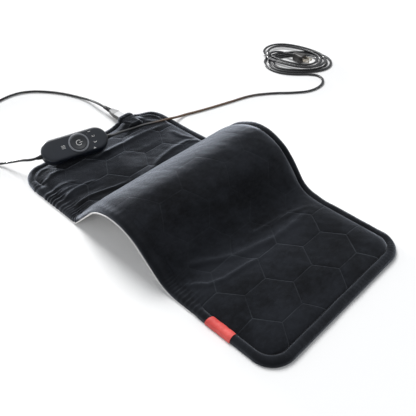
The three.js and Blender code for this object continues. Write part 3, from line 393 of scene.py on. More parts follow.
# cords
leadCord = {
    "diameter": 4.6 * mm, "step": 4 * mm, "sides": 14, "tuck": 3 * mm,
    "route": [
        (11.3, 33.4, 30.6), (9.9, 28.6, 30.5), (4.8, 22.6, 29.4), (-4.3, 18.5, 26.8), (-13.6, 14.6, 23.1),
        (-23.8, 10.6, 18.4), (-35.3, 6.4, 13.0), (-46.4, 2.0, 7.9), (-57.0, -4.0, 4.2), (-69, -13, 2.7),
        (-84, -26, 2.4), (-106, -38, 2.4), (-138, -44, 2.4), (-172, -33, 2.4), (-203, -7, 2.4),
        (-227, 28, 2.4), (-243, 68, 2.4), (-250, 106, 2.4), (-252, 136, 2.4), (-247, 159, 2.4),
        (-233, 180.5, 2.4), (-212, 199, 2.4), (-183.5, 217, 2.4), (-158, 228, 2.5), (-134, 235, 3.4),
        (-112, 238, 6.0), (-92, 237, 9.9), (-77, 236.1, 12.1), (-70, 236, 12.3), (-61.9, 236, 12.3),
    ],
}
mainsCord = {
    "width": 5.6 * mm, "thickness": 3.2 * mm, "step": 3.5 * mm, "tuck": 3 * mm, "lobeSteps": 9,
    "groove": 0.08,
    "route": [
        (49.7, 167.2, 30.6), (51.0, 172.0, 30.5), (50.0, 180.0, 28.8), (46.2, 191.0, 24.8),
        (42.6, 203.0, 19.9), (40.4, 216.0, 15.8), (40.6, 230.0, 13.6), (44.0, 246.0, 13.1),
        (51.0, 263.0, 13.1), (57.5, 280.0, 12.9), (61.5, 296.0, 11.6), (62.5, 311.0, 8.0),
        (62.0, 326.0, 4.2), (63.0, 341.0, 2.0), (69.0, 358.0, 1.75), (76, 378, 1.75), (94, 437, 1.75),
        (109, 486, 1.75), (134, 524, 1.75), (166, 559, 1.75), (184, 585, 1.75), (189.5, 611, 1.75),
        (186, 632, 1.75), (175, 647.5, 1.75), (158, 653.5, 1.75),
    ],
}
hank = {
    "centre": (91.0, 674.5), "turn": 47.5, "halfLength": 80.2, "halfWidth": 56.1, "loops": 5, "pitch": 9.6,
    "reversal": 2.59, "firstLift": 1.75, "layer": 3.8, "climb": 0.26, "swing": -36.3, "swingSpan": 0.3,
    "liftFrom": 4.54, "liftSpan": 0.33, "squareness": 1.67, "steps": 24, "extraTurn": 19.5,
    "hookRadius": 24.0, "hookSteps": 10, "plugHeading": 7.5, "plugRun": 5.6, "leadIn": 11.2, "leadEnd": 0.3,
    "finer": 3,
}


def swung(place, pivot, degrees):
    c, s = math.cos(math.radians(degrees)), math.sin(math.radians(degrees))
    return pivot + np.array([[c, -s], [s, c]]) @ (place - pivot)


def hankSpiral(turns):
    angle = -math.pi / 2 - 2 * math.pi * turns
    drawnIn = hank["pitch"] * (hank["reversal"] - abs(hank["reversal"] - turns))
    wide = hank["halfWidth"] - drawnIn
    stretch = math.tanh(hank["squareness"] * math.cos(angle)) / math.tanh(hank["squareness"])
    reach = (hank["halfLength"] - hank["halfWidth"]) * stretch
    return np.array([reach + wide * math.cos(angle), wide * math.sin(angle)])


def hankPoint(turns):
    # spirals in on the floor, climbs a layer, fans round and spirals out again
    past = turns - hank["reversal"]
    swing = hank["swing"] * smoothStep(past / hank["swingSpan"] + 0.5)
    layers = smoothStep(past / hank["climb"] + 0.5)
    layers = layers + smoothStep((turns - hank["liftFrom"]) / hank["liftSpan"])
    flat = swung(hankSpiral(turns), hankSpiral(hank["reversal"]), swing)
    flat = swung(flat, np.zeros(2), hank["turn"]) + hank["centre"]
    return np.array([*flat, hank["firstLift"] + hank["layer"] * layers])


def hankLine():
    # the loops, then a hook round to the plug
    count = round((hank["loops"] + hank["extraTurn"] / 360) * hank["steps"])
    line = [hankPoint(k / (hank["steps"] * hank["finer"])) for k in range(count * hank["finer"] + 1)]
    last = line[-1]
    ahead = last - hankPoint((count - 1) / hank["steps"])
    heading, plugTurn = math.atan2(ahead[1], ahead[0]), math.radians(hank["plugHeading"])
    radius, steps = hank["hookRadius"], hank["hookSteps"] * hank["finer"]
    centre = last + radius * np.array([math.sin(heading), -math.cos(heading), 0.0])
    sweep = (heading - plugTurn) % (2 * math.pi)
    for k in range(1, steps + 1):
        at = heading - sweep * k / steps
        line.append(centre + radius * np.array([-math.sin(at), math.cos(at), 0.0]))
    line.append(line[-1] + hank["plugRun"] * np.array([math.cos(plugTurn), math.sin(plugTurn), 0.0]))
    return np.array(line)


def twinSection():
    # two insulated cores side by side, with the groove between them
    lobe = mainsCord["thickness"] / 2
    reach = mainsCord["width"] / 2 - lobe
    open_ = math.acos(-reach / lobe) - mainsCord["groove"]
    angles = np.linspace(-open_, open_, mainsCord["lobeSteps"])
    right = np.stack([reach + lobe * np.cos(angles), lobe * np.sin(angles)], -1)
    return np.concatenate([right, -right])


def roundSection(radius, sides):
    angles = np.arange(sides) * 2 * math.pi / sides
    return radius * np.stack([np.cos(angles), np.sin(angles)], -1)


def tucked(path, reach):
    # runs both ends on into the pieces that hold them
    first = path[0] + (path[0] - path[1]) / np.linalg.norm(path[0] - path[1]) * reach
    last = path[-1] + (path[-1] - path[-2]) / np.linalg.norm(path[-1] - path[-2]) * reach
    return np.concatenate([[first], path, [last]])


def makeLead():
    path = tucked(smoothRoute(fromEdge(leadCord["route"]), leadCord["step"]), leadCord["tuck"])
    points, faces = sweptTube(path, roundSection(leadCord["diameter"] / 2, leadCord["sides"]))
    return newPiece("padLead", points, faces), path


def makeMains():
    loops = hankLine()
    into = hankPoint(1 / hank["steps"]) - loops[0]
    into /= np.linalg.norm(into)
    route = mainsCord["route"] + [loops[0] - into * hank[k] for k in ("leadIn", "leadEnd")]
    free = smoothRoute(fromEdge(route), mainsCord["step"])
    path = evenly(np.concatenate([free, fromEdge(loops)]), mainsCord["step"])
    path[1:-1] = (path[:-2] + 2 * path[1:-1] + path[2:]) / 4
    path = tucked(path, mainsCord["tuck"])
    points, faces = sweptTube(path, twinSection())
    return newPiece("mainsCord", points, faces, 60.0), path


def routeLength(path):
    return float(np.linalg.norm(np.diff(path, axis=0), axis=1).sum())


leadPiece, leadPath = makeLead()
mainsPiece, mainsPath = makeMains()
hankEnd = fromEdge(hankLine()[-1])
print("cords laid: lead", round(routeLength(leadPath), 3), "m, mains", round(routeLength(mainsPath), 3), "m")


# quilted cover
cover = {
    "inset": 12.0 * mm, "low": 5.0 * mm, "edge": 8.4 * mm, "crown": 3.4 * mm, "crownRun": 26 * mm,
    "edgeRound": 10 * mm, "edgeDrop": 2.6 * mm, "alongStep": 2.0 * mm, "acrossStep": 2.1 * mm,
    "cornerDraw": 62 * mm, "cornerSteps": 14, "rimRun": 12 * mm, "foldRun": 9 * mm, "nearSide": 90 * mm,
    "channel": 0.4 * mm, "channelWidth": 2.6 * mm, "puff": 0.35 * mm, "puffRun": 22 * mm,
    "sag": 0.4 * mm, "sagPitch": 62 * mm, "rub": 0.1 * mm, "rubPitch": 17 * mm,
    "frontCrown": 2.6 * mm, "frontRun": 46 * mm, "frontFrom": 440 * mm, "frontFade": 60 * mm,
    "cordFrom": 190 * mm, "cordGap": 0.1 * mm, "cordDent": 9 * mm,
}


def within(place, ends, fade):
    # 1 between two places, fading to 0 at both
    return smoothStep((place - ends[0]) / fade) * smoothStep((ends[1] - place) / fade)


def domed(share):
    return 1 - (1 - np.minimum(share, 1.0)) ** 2


quilt = {
    "pitch": 64 * mm, "rowPitch": 64 * mm, "offset": 26.5 * mm, "middle": 148 * mm,
    "slip": 9.5 * mm, "slipFrom": 150 * mm, "slipTo": 350 * mm,
    "stretched": 0.75, "stretchFrom": 180 * mm, "stretchRun": 40 * mm,
    "stretchTo": 450 * mm, "easeRun": 50 * mm,
}


def hexEdge(along, across):
    # distance to the nearest line of the honeycomb quilting, which has slipped a little behind the arch
    slipped = (along - quilt["slipFrom"]) / (quilt["slipTo"] - quilt["slipFrom"])
    u = (along + quilt["slip"] * (1 - smoothStep(slipped)) - quilt["offset"]) / quilt["pitch"]
    v = (across - quilt["middle"]) / quilt["rowPitch"]
    best = None
    for uShift, vShift in ((0.5, 0.0), (0.0, 1.0)):
        du = np.abs(u - uShift - np.round(u - uShift))
        dv = np.abs((v - vShift) / 2 - np.round((v - vShift) / 2)) * 2
        straight = (0.5 - du) * quilt["pitch"]
        slanted = (2 / 3 - dv - 2 / 3 * du) * quilt["rowPitch"] / math.hypot(1.0, 2 / 3)
        near = np.minimum(straight, slanted)
        best = near if best is None else np.maximum(best, near)
    return best


def fromOutline(along, across, inset):
    # distance in from the cover's round-cornered outline
    halfLong, halfWide = padLie["length"] / 2 - inset, padLie["width"] / 2 - inset
    round_ = padLie["corner"] - inset
    a = np.abs(along - padLie["length"] / 2) - (halfLong - round_)
    b = np.abs(across - padLie["width"] / 2) - (halfWide - round_)
    outside = np.hypot(np.maximum(a, 0.0), np.maximum(b, 0.0))
    return round_ - outside - np.minimum(np.maximum(a, b), 0.0)


# creases and soft folds: half width, height and (along, across) points, all in mm
folds = [
    (5.5, 2.8, [(61, 112), (63.3, 128), (61.5, 154), (64.3, 189), (66.5, 240), (71.6, 280)]),
    (3.6, 2.8, [(112.6, 13), (108.2, 37.1), (108.4, 61.6), (114, 84)]),
    (3.8, 3.0, [(140, 13), (138.4, 47.1), (146.8, 76.4), (151.2, 92.7), (153.9, 118)]),
    (5.0, -1.4, [(125, 13), (123, 46), (131, 84)]),
    (4.2, 1.9, [(57.7, 14), (45.8, 36.7), (47, 58)]),
    (4.0, 1.7, [(81.4, 13), (80.9, 35.2), (91.3, 58)]),
    (3.4, 1.2, [(96, 13), (95, 30), (99, 46)]),
    (4.0, 1.6, [(30, 16), (22.3, 29.7), (25, 46)]),
    (5.0, 2.5, [(157, 168), (145.3, 201), (140.1, 235), (141.1, 268), (154, 290)]),
    (5.0, 1.6, [(92, 268), (120, 272), (145, 285)]),
    (4.0, 3.0, [(13, 256), (20, 268), (26, 279), (40, 287), (62, 288)]),
    (4.2, 2.0, [(34, 258), (47, 268), (60, 281)]),
    (8.0, 0.9, [(86, 150), (100, 196), (104, 240)]),
    (4.2, 2.2, [(424, 14), (438, 25), (457, 43), (467, 68), (471, 104), (475, 125), (474, 142)]),
    (6.5, 2.4, [(422, 14), (408, 46), (427, 77), (447, 108), (457, 144), (465, 173), (467, 205), (467, 234),
                (465, 269)]),
    (5.0, 1.6, [(432, 150), (439, 190), (447, 234), (459, 269)]),
    (9.0, 0.9, [(300, 200), (318, 245), (322, 288)]),
    (11.0, 0.8, [(560, 60), (548, 120), (552, 180)]),
]


def foldHeight(along, across):
    total = np.zeros(np.shape(along))
    for width, height, points in folds:
        line = np.array(points) * mm
        lengths = np.linalg.norm(np.diff(line, axis=0), axis=1)
        gone = np.concatenate([[0.0], np.cumsum(lengths)])
        nearest = np.full(np.shape(along), 1e3)
        share = np.zeros(np.shape(along))
        for k in range(len(lengths)):
            ahead = (line[k + 1] - line[k]) / lengths[k]
            s, y = along - line[k][0], across - line[k][1]
            run = np.clip(s * ahead[0] + y * ahead[1], 0.0, lengths[k])
            away = np.hypot(s - run * ahead[0], y - run * ahead[1])
            closer = away < nearest
            nearest = np.where(closer, away, nearest)
            share = np.where(closer, (gone[k] + run) / gone[-1], share)
        taper = np.minimum(1.0, 4.0 * np.minimum(share + 0.06, 1.06 - share))
        total += height * mm * taper * np.exp(-((nearest / (width * mm)) ** 2))
    return total


gathers = {
    "along": (34 * mm, 182 * mm), "fade": 18 * mm, "pitch": 8.2 * mm, "cover": 1.2 * mm, "run": 14 * mm,
    "bulge": 2.4 * mm, "drift": 0.9, "driftRun": 23 * mm, "shiver": 0.42, "shiverRun": 8.1 * mm,
    "strength": 0.85, "swell": 0.35, "swellRun": 13 * mm,
}


def gatherWave(along):
    # drawn-in pleats along the near edge, where the pad turns up into the arch
    share = within(along, gathers["along"], gathers["fade"])
    phase = (along / gathers["pitch"] + gathers["drift"] * np.sin(along / gathers["driftRun"])
             + gathers["shiver"] * np.sin(along / gathers["shiverRun"] + 1.0))
    strength = gathers["strength"] + gathers["swell"] * np.sin(along / gathers["swellRun"] + 0.6)
    return share * strength * np.sin(2 * math.pi * phase), share


pleats = {
    "along": (392 * mm, 490 * mm), "fade": 22 * mm, "pitch": 6.8 * mm, "height": 0.6 * mm, "run": 12 * mm,
    "drift": 0.25, "driftRun": 13 * mm, "sway": 0.4, "swayRun": 31 * mm,
}


def footPleats(along):
    # fine tucks in the near edge at the arch's foot
    phase = (along / pleats["pitch"] + pleats["drift"] * np.sin(along / pleats["driftRun"])
             + pleats["sway"] * np.sin(along / pleats["swayRun"]))
    return within(along, pleats["along"], pleats["fade"]) * np.sin(2 * math.pi * phase)


flush = {
    "along": (44 * mm, 486 * mm), "fade": 26 * mm, "reach": 40 * mm, "merge": 8 * mm, "lap": 0.12 * mm,
    "fill": 0.85,
}


def lyingFlush(along, across):
    # the arch's near edge, where binding and cover meet without a groove
    near = smoothStep((flush["reach"] - across) / (flush["reach"] / 2))
    return near * within(along, flush["along"], flush["fade"])


pocket = {
    "mouth": 0.6 * mm, "full": 33 * mm, "end": 39.5 * mm, "middle": 236 * mm, "halfWidth": 14.8 * mm,
    "skirt": 3.9 * mm, "skirtFrom": 0.72, "skirtDrop": 2.2 * mm, "top": 19.9 * mm, "base": 9.6 * mm,
    "cloth": 1.2 * mm, "squareness": 3.8, "alongSteps": 34, "aroundSteps": 45, "narrowing": 0.45,
    "gather": 0.32 * mm, "gatherFrom": 8 * mm, "gatherRun": 14 * mm, "creases": 13.0, "creaseRun": 7 * mm,
    "rub": 0.2 * mm, "rubPitch": 11 * mm, "least": 0.3 * mm, "endLift": 0.8 * mm,
    "mound": 8.4 * mm, "moundRun": 13 * mm, "moundFrom": 24 * mm, "moundSteep": 1.6,
    "moundPower": 1.6,
}


def pocketMound(along, across):
    # the cloth drawn up round the pocket
    beside = np.maximum(np.abs(across - pocket["middle"]) - pocket["halfWidth"], 0.0)
    behind = pocket["moundSteep"] * np.maximum(along - pocket["moundFrom"], 0.0)
    away = np.hypot(beside, behind) / pocket["moundRun"]
    return pocket["mound"] * np.exp(-(away ** pocket["moundPower"]))


socketWindow = {"along": 34.9 * mm, "across": (222.0 * mm, 250.0 * mm), "floor": 6.72 * mm}


def overSocket(along, across):
    # the window that the socket is seated in
    low, high = socketWindow["across"]
    return (along < socketWindow["along"]) & (across > low) & (across < high)


def coverHeight(along, across):
    inward = np.maximum(fromOutline(along, across, cover["inset"]), 0.0)
    height = cover["edge"] + cover["crown"] * domed(inward / cover["crownRun"])
    fuller = cover["frontCrown"] * smoothStep((along - cover["frontFrom"]) / cover["frontFade"])
    height += fuller * domed(inward / cover["frontRun"])
    rounding = 1 - np.minimum(inward / cover["edgeRound"], 1.0)
    drop = cover["edgeDrop"] * (1 - flush["fill"] * lyingFlush(along, across))
    height -= drop * (1 - np.sqrt(np.maximum(1 - rounding**2, 0.0)))
    near = across < cover["nearSide"]
    height += gathers["cover"] * gatherWave(along)[0] * np.exp(-inward / gathers["run"]) * near
    height += pleats["height"] * footPleats(along) * np.exp(-inward / pleats["run"]) * near
    height += pocketMound(along, across)
    away = hexEdge(along, across)
    inner = smoothStep(inward / cover["rimRun"])
    stretched = (smoothStep((along - quilt["stretchFrom"]) / quilt["stretchRun"])
                 * smoothStep((quilt["stretchTo"] - along) / quilt["easeRun"]))
    drawn = inner * (1 - quilt["stretched"] * stretched)
    height -= drawn * cover["channel"] * np.exp(-((away / cover["channelWidth"]) ** 1.4))
    height += drawn * cover["puff"] * (smoothStep(away / cover["puffRun"]) - 0.6)
    height += inner * cover["sag"] * ripple(along, across, cover["sagPitch"], 4)
    height += inner * cover["rub"] * ripple(along, across, cover["rubPitch"], 9)
    return height + foldHeight(along, across) * smoothStep(inward / cover["foldRun"])


def underCord(along, across, height):
    # the mains cord presses a shallow dent into the cloth that it lies on
    path = mainsPath - edgeShift
    path = path[(path[:, 1] > cover["cordFrom"]) & (path[:, 1] < padLie["width"])]
    for x, y, z in path:
        below = z - mainsCord["thickness"] / 2 - cover["cordGap"]
        away = np.hypot(along - x, across - y)
        height = np.minimum(height, below + away**2 / cover["cordDent"])
    return height


def drawnCorners(along, across, inset, reach):
    # pulls a grid's short ends in to the round corners of an outline that lies inset from the pad's edge
    round_ = padLie["corner"] - inset
    fromSide = np.minimum(across - inset, padLie["width"] - inset - across)
    draw = round_ - np.sqrt(np.maximum(round_**2 - np.maximum(round_ - fromSide, 0.0) ** 2, 0.0))
    atFar = np.maximum(1 - (along - inset) / reach, 0.0) ** 2
    atFront = np.maximum(1 - (padLie["length"] - inset - along) / reach, 0.0) ** 2
    return along + draw * atFar - draw * atFront


def makeCover():
    inset, round_ = cover["inset"], padLie["corner"] - cover["inset"]
    arc = round_ * (1 - np.cos(np.linspace(0.0, math.pi / 2, cover["cornerSteps"])))
    low, high = inset, padLie["width"] - inset
    between = np.arange(1, round((high - low - 2 * round_) / cover["acrossStep"]))
    across = np.concatenate([low + arc, low + round_ + between * cover["acrossStep"], high - arc[::-1]])
    count = round((padLie["length"] - 2 * inset) / cover["alongStep"]) + 1
    along = np.linspace(inset, padLie["length"] - inset, count)
    s, y = np.meshgrid(along, across, indexing="ij")
    s = drawnCorners(s, y, inset, cover["cornerDraw"])
    height = underCord(s, y, coverHeight(s, y))
    height = np.where(overSocket(s, y), np.minimum(height, socketWindow["floor"]), height)
    rows, columns = s.shape
    faces = gridFaces(rows, columns)
    rim = gridRim(rows, columns)
    under = {at: rows * columns + k for k, at in enumerate(rim)}
    for at, after in zip(rim, rim[1:] + rim[:1]):
        faces.append((at, after, under[after], under[at]))
    # the underside is closed by strips from side to side
    first, last = ([under[r * columns + c] for c in range(columns)] for r in (0, rows - 1))
    left, right = ([under[r * columns + c] for r in range(rows)] for c in (0, columns - 1))
    faces.append((*first, right[1], left[1]))
    for r in range(1, rows - 2):
        faces.append((left[r], right[r], right[r + 1], left[r + 1]))
    faces.append((left[-2], right[-2], *last[::-1]))
    allAlong, allAcross = (np.concatenate([v.ravel(), v.ravel()[rim]]) for v in (s, y))
    allHeight = np.concatenate([height.ravel(), np.full(len(rim), cover["low"])])
    piece = newPiece("padCover", onPad(allAlong, allAcross, allHeight), faces, 60.0)
    clothMap(piece, allAlong, allAcross)
    return piece


coverPiece = makeCover()
print("quilted cover sewn:", len(coverPiece.data.vertices), "points")


# edge binding, its stitches, the backing and the tag
binding = {
    "halfWidth": 6.5 * mm, "low": 1.9 * mm, "rise": 7.5 * mm, "fullness": 0.7, "step": 1.9 * mm, "sides": 15,
    "nearSide": 30 * mm, "shortEdge": 5 * mm, "gather": 0.13, "calming": 0.7,
    "ripple": 0.02, "ripplePitch": 7.2 * mm, "pitchDrift": 0.25, "driftRun": 55 * mm, "pocketRipple": 0.12,
    "pocketReach": 12 * mm, "pocketFade": 14 * mm, "pocketTo": 60 * mm, "pocketLift": 0.9,
    "swell": 0.05, "swellRun": 38 * mm, "wander": 0.5 * mm, "wanderRun": 70 * mm,
    "frontOut": 1.9 * mm, "frontFrom": 45 * mm, "frontFade": 40 * mm,
    "skirt": 1.55 * mm, "skirtTurn": -0.05, "skirtGap": 0.05 * mm,
}


def bindingOutline(step):
    # walks round the pad's outline: places, inward directions and the distance gone
    length, width, radius = padLie["length"], padLie["width"], padLie["corner"]
    centres = [(length - radius, radius), (length - radius, width - radius),
               (radius, width - radius), (radius, radius)]
    places, inwards = [], []
    for side in range(4):
        out = np.array([math.sin(side * math.pi / 2), -math.cos(side * math.pi / 2)])
        run = (length if side % 2 == 0 else width) - 2 * radius
        ahead = np.array([-out[1], out[0]])
        begin = np.array(centres[side]) + out * radius - ahead * run
        for gone in np.arange(round(run / step)) * run / round(run / step):
            places.append(begin + ahead * gone)
            inwards.append(-out)
        turns = round(radius * math.pi / 2 / step)
        for k in range(turns):
            at = side * math.pi / 2 + k / turns * math.pi / 2
            out = np.array([math.sin(at), -math.cos(at)])
            places.append(np.array(centres[side]) + out * radius)
            inwards.append(-out)
    places, inwards = np.array(places), np.array(inwards)
    gone = np.concatenate([[0.0], np.cumsum(np.linalg.norm(np.diff(places, axis=0), axis=1))])
    return places, inwards, gone


def bindingSection(turn):
    return (binding["halfWidth"] * (1 - np.cos(turn)),
            binding["low"] + binding["rise"] * np.maximum(np.sin(turn), 0.0) ** binding["fullness"])


def makeBinding():
    places, inwards, gone = bindingOutline(binding["step"])
    s, y = places[:, :1], places[:, 1:]
    # turn runs from the skirt over the top to the seam with the cover
    turn = np.concatenate([[binding["skirtTurn"]], np.linspace(0.0, math.pi, binding["sides"])])
    inward, height = bindingSection(turn)
    bow = np.maximum(np.sin(turn), 0.0)
    inner = smoothStep(turn / (math.pi / 2) - 1)
    nearSide, shortEdge = y < binding["nearSide"], s < binding["shortEdge"]
    lying = lyingFlush(s, y)
    flat = lying * (turn > math.pi / 2)
    wave, drawn = (v * nearSide for v in gatherWave(s))

    beside = np.maximum(np.abs(y - pocket["middle"]) - binding["pocketReach"], 0.0)
    byPocket = (s < binding["pocketTo"]) * np.exp(-((beside / binding["pocketFade"]) ** 2))
    depth = binding["ripple"] + (binding["pocketRipple"] - binding["ripple"]) * byPocket[:, 0]
    pitchDrift = binding["pitchDrift"] * ripple(gone, 0 * gone, binding["driftRun"], 21, 4)
    pitch = binding["ripplePitch"] * (1 + pitchDrift)
    phase = np.concatenate([[0.0], np.cumsum(np.diff(gone) / pitch[1:])]) * 2 * math.pi
    fine = depth * np.sin(phase) + binding["swell"] * ripple(gone, 0 * gone, binding["swellRun"], 22, 5)
    fine = fine[:, None] * (1 - binding["calming"] * drawn)
    swell = 1 + (fine + binding["gather"] * wave) * np.sin(turn)

    wander = binding["wander"] * ripple(gone, 0 * gone, binding["wanderRun"], 23, 5)
    inward = inward + wander[:, None] * np.sin(turn)
    inward = inward - gathers["bulge"] * drawn * (1 + 0.25 * wave) * (1 - turn / math.pi)
    inward = inward + flush["merge"] * inner * flat
    front = smoothStep((s - padLie["length"] + binding["frontFrom"]) / binding["frontFade"])
    inward = inward - binding["frontOut"] * front * np.clip(1 - turn / math.pi, 0.0, 1.0)
    along, across = s + inwards[:, :1] * inward, y + inwards[:, 1:] * inward

    level = ((binding["low"] + binding["rise"]) * (1 - inner)
             + (coverHeight(along, across) + flush["lap"]) * inner)
    lift = binding["low"] + (height * (1 - flat) + level * flat - binding["low"]) * swell
    lift = lift + pleats["height"] * footPleats(s) * nearSide * bow
    lift = lift + binding["pocketLift"] * pocketMound(s, y) * bow**0.5 * shortEdge
    lift[:, 0] -= binding["skirtGap"] + binding["skirt"] * (1 - lying[:, 0])
    lift = np.where(shortEdge & overSocket(s, y), np.minimum(lift, socketWindow["floor"]), lift)
    faces = loftFaces(len(places), len(turn), loop=True)
    piece = newPiece("edgeBinding", onPad(along, across, lift), faces, 60.0)
    clothMap(piece, np.broadcast_to(gone[:, None], along.shape),
             np.broadcast_to(turn * binding["halfWidth"], along.shape))
    return piece


stitch = {
    "length": 2.9 * mm, "pitch": 3.7 * mm, "radius": 0.3 * mm, "inward": 12.2 * mm, "lift": 7.1 * mm,
    "arch": 0.35 * mm, "sides": 6, "pocketGap": 24 * mm, "flushMost": 0.3,
    "shares": (-0.5, -0.42, -0.2, 0.2, 0.42, 0.5), "thins": (0.35, 0.85, 1.0, 1.0, 0.85, 0.35),
}


def makeStitches():
    places, inwards, _ = bindingOutline(stitch["pitch"])
    ahead = np.roll(places, -1, axis=0) - places
    ahead /= np.linalg.norm(ahead, axis=1)[:, None]
    shares, thin = np.array(stitch["shares"]), np.array(stitch["thins"])
    section = roundSection(stitch["radius"], stitch["sides"]) * thin[:, None, None]
    height = stitch["lift"] + np.cos(shares * math.pi) * stitch["arch"]
    parts = []
    for place, inward, on in zip(places, inwards, ahead):
        byPocket = place[0] < binding["shortEdge"] and abs(place[1] - pocket["middle"]) < stitch["pocketGap"]
        if byPocket or lyingFlush(*place) > stitch["flushMost"]:
            continue
        line = place + inward * stitch["inward"] + on * shares[:, None] * stitch["length"]
        parts.append(sweptTube(onPad(line[:, 0], line[:, 1], height), section))
    return newPiece("bindingStitches", *joined(parts), 60.0)


backing = {
    "inset": 0.3 * mm, "showing": 1.3 * mm, "under": 0.1 * mm, "thickness": 1.9 * mm, "alongStep": 4 * mm,
    "acrossStep": 8 * mm, "cornerSteps": 10, "cornerDraw": 82.94 * mm, "edgeRun": 10 * mm,
}


def makeBacking():
    count = round(padLie["length"] / backing["alongStep"]) + 1
    inset, round_ = backing["inset"], padLie["corner"] - backing["inset"]
    arc = round_ * (1 - np.cos(np.linspace(0.0, math.pi / 2, backing["cornerSteps"])))
    low, high = inset, padLie["width"] - inset
    steps = round((high - low - 2 * round_) / backing["acrossStep"])
    middle = np.linspace(low + round_, high - round_, steps)
    across = np.concatenate([low + arc[:-1], middle, high - arc[-2::-1]])
    along = np.linspace(inset, padLie["length"] - inset, count)
    s, y = np.meshgrid(along, across, indexing="ij")
    s = drawnCorners(s, y, inset, backing["cornerDraw"])
    nearOut = gathers["bulge"] * gatherWave(s)[1] + backing["showing"] * lyingFlush(s, 0 * y)
    y = y - nearOut * np.maximum(1 - y / backing["edgeRun"], 0.0)
    lifts = (backing["under"], backing["thickness"])
    points = [onPad(s, y, np.full(s.shape, lift)).reshape(-1, 3) for lift in lifts]
    piece = newPiece("padBacking", np.concatenate(points), shellFaces(*s.shape), 50.0)
    clothMap(piece, np.tile(s.ravel(), 2), np.tile(y.ravel(), 2))
    return piece


tag = {
    "along": (493 * mm, 537 * mm), "from": 0.02, "to": 0.87, "low": 0.7 * mm, "lift": 0.25 * mm,
    "thickness": 0.65 * mm, "lean": 5 * mm, "alongSteps": 34, "aroundSteps": 18,
    "wave": 0.22 * mm, "wavePitch": 17 * mm, "rub": 0.12 * mm, "rubPitch": 9 * mm,
}


def makeTag():
    along = np.linspace(*tag["along"], tag["alongSteps"])
    turn = np.linspace(tag["from"], tag["to"], tag["aroundSteps"]) * math.pi
    inward, height = bindingSection(turn)
    height[0] = tag["low"]
    outIn, outUp = -np.cos(turn), np.sin(turn)
    s, k = np.meshgrid(along, np.arange(tag["aroundSteps"]), indexing="ij")
    s = s + tag["lean"] * k / tag["aroundSteps"] * (along[-1] - s) / (along[-1] - along[0])
    wave = tag["wave"] * np.sin((s - along[0]) * 2 * math.pi / tag["wavePitch"]) * np.sin(turn[k])
    layers = []
    for lift in (tag["lift"], tag["lift"] + tag["thickness"]):
        up = lift + wave + tag["rub"] * ripple(s, k * mm, tag["rubPitch"], 31)
        layers.append(onPad(s, inward[k] + outIn[k] * up, height[k] + outUp[k] * up).reshape(-1, 3))
    piece = newPiece("sideTag", np.concatenate(layers), shellFaces(*s.shape), 45.0)
    clothMap(piece, np.tile(s.ravel(), 2), np.tile(k.ravel() * mm, 2))
    return piece


bindingPiece = makeBinding()
stitchPiece = makeStitches()
backingPiece = makeBacking()
tagPiece = makeTag()
print("binding, stitches, backing and tag sewn")


# cloth pocket over the socket
def makePocket():
    along = np.linspace(pocket["mouth"], pocket["end"], pocket["alongSteps"])
    share = np.linspace(-1.0, 1.0, pocket["aroundSteps"])
    u, v = np.meshgrid(along, share, indexing="ij")
    fall = np.clip((u - pocket["full"]) / (pocket["end"] - pocket["full"]), 0.0, 1.0)
    tall = (pocket["top"] - pocket["base"]) * np.sqrt(np.maximum(1 - fall**2.2, 0.0))
    wide = pocket["halfWidth"] * (1 - pocket["narrowing"] * fall**2)
    dome = squared(np.cos(v * math.pi / 2), pocket["squareness"])
    side = squared(np.sin(v * math.pi / 2), pocket["squareness"])
    flare = smoothStep((np.abs(v) - pocket["skirtFrom"]) / (1 - pocket["skirtFrom"]))
    creases = np.sin(v * pocket["creases"] + 2.2 * np.sin(u / pocket["creaseRun"]))
    creases = creases * smoothStep((u - pocket["gatherFrom"]) / pocket["gatherRun"]) ** 2
    rub = pocket["rub"] * (1 + ripple(u, v * 14 * mm, pocket["rubPitch"], 41))
    pleat = pocket["gather"] * (1 + creases) + rub
    layers = []
    for inner in (0.0, pocket["cloth"]):
        y = pocket["middle"] + side * (wide + pocket["skirt"] * flare - inner) * (1 + pleat / (20 * mm))
        z = pocket["base"] - inner * 0.6 + dome * np.maximum(tall - inner * 0.6 + pleat, pocket["least"])
        z = z - pocket["skirtDrop"] * flare + pocket["endLift"] * fall
        layers.append(np.stack([u, y, z], -1).reshape(-1, 3) + edgeShift)
    piece = newPiece("socketPocket", np.concatenate(layers), shellFaces(*u.shape), 60.0)
    clothMap(piece, np.tile(u.ravel(), 2) + 0.9, np.tile(v.ravel() * 20 * mm, 2) + 0.9)
    return piece


hem = {
    "halfWidth": 5.2 * mm, "half": 2.2 * mm, "out": 0.8 * mm, "drop": 2 * mm, "over": 1 * mm, "reach": 0.985,
    "steps": 61, "sides": 14, "setBack": 0.9,
}


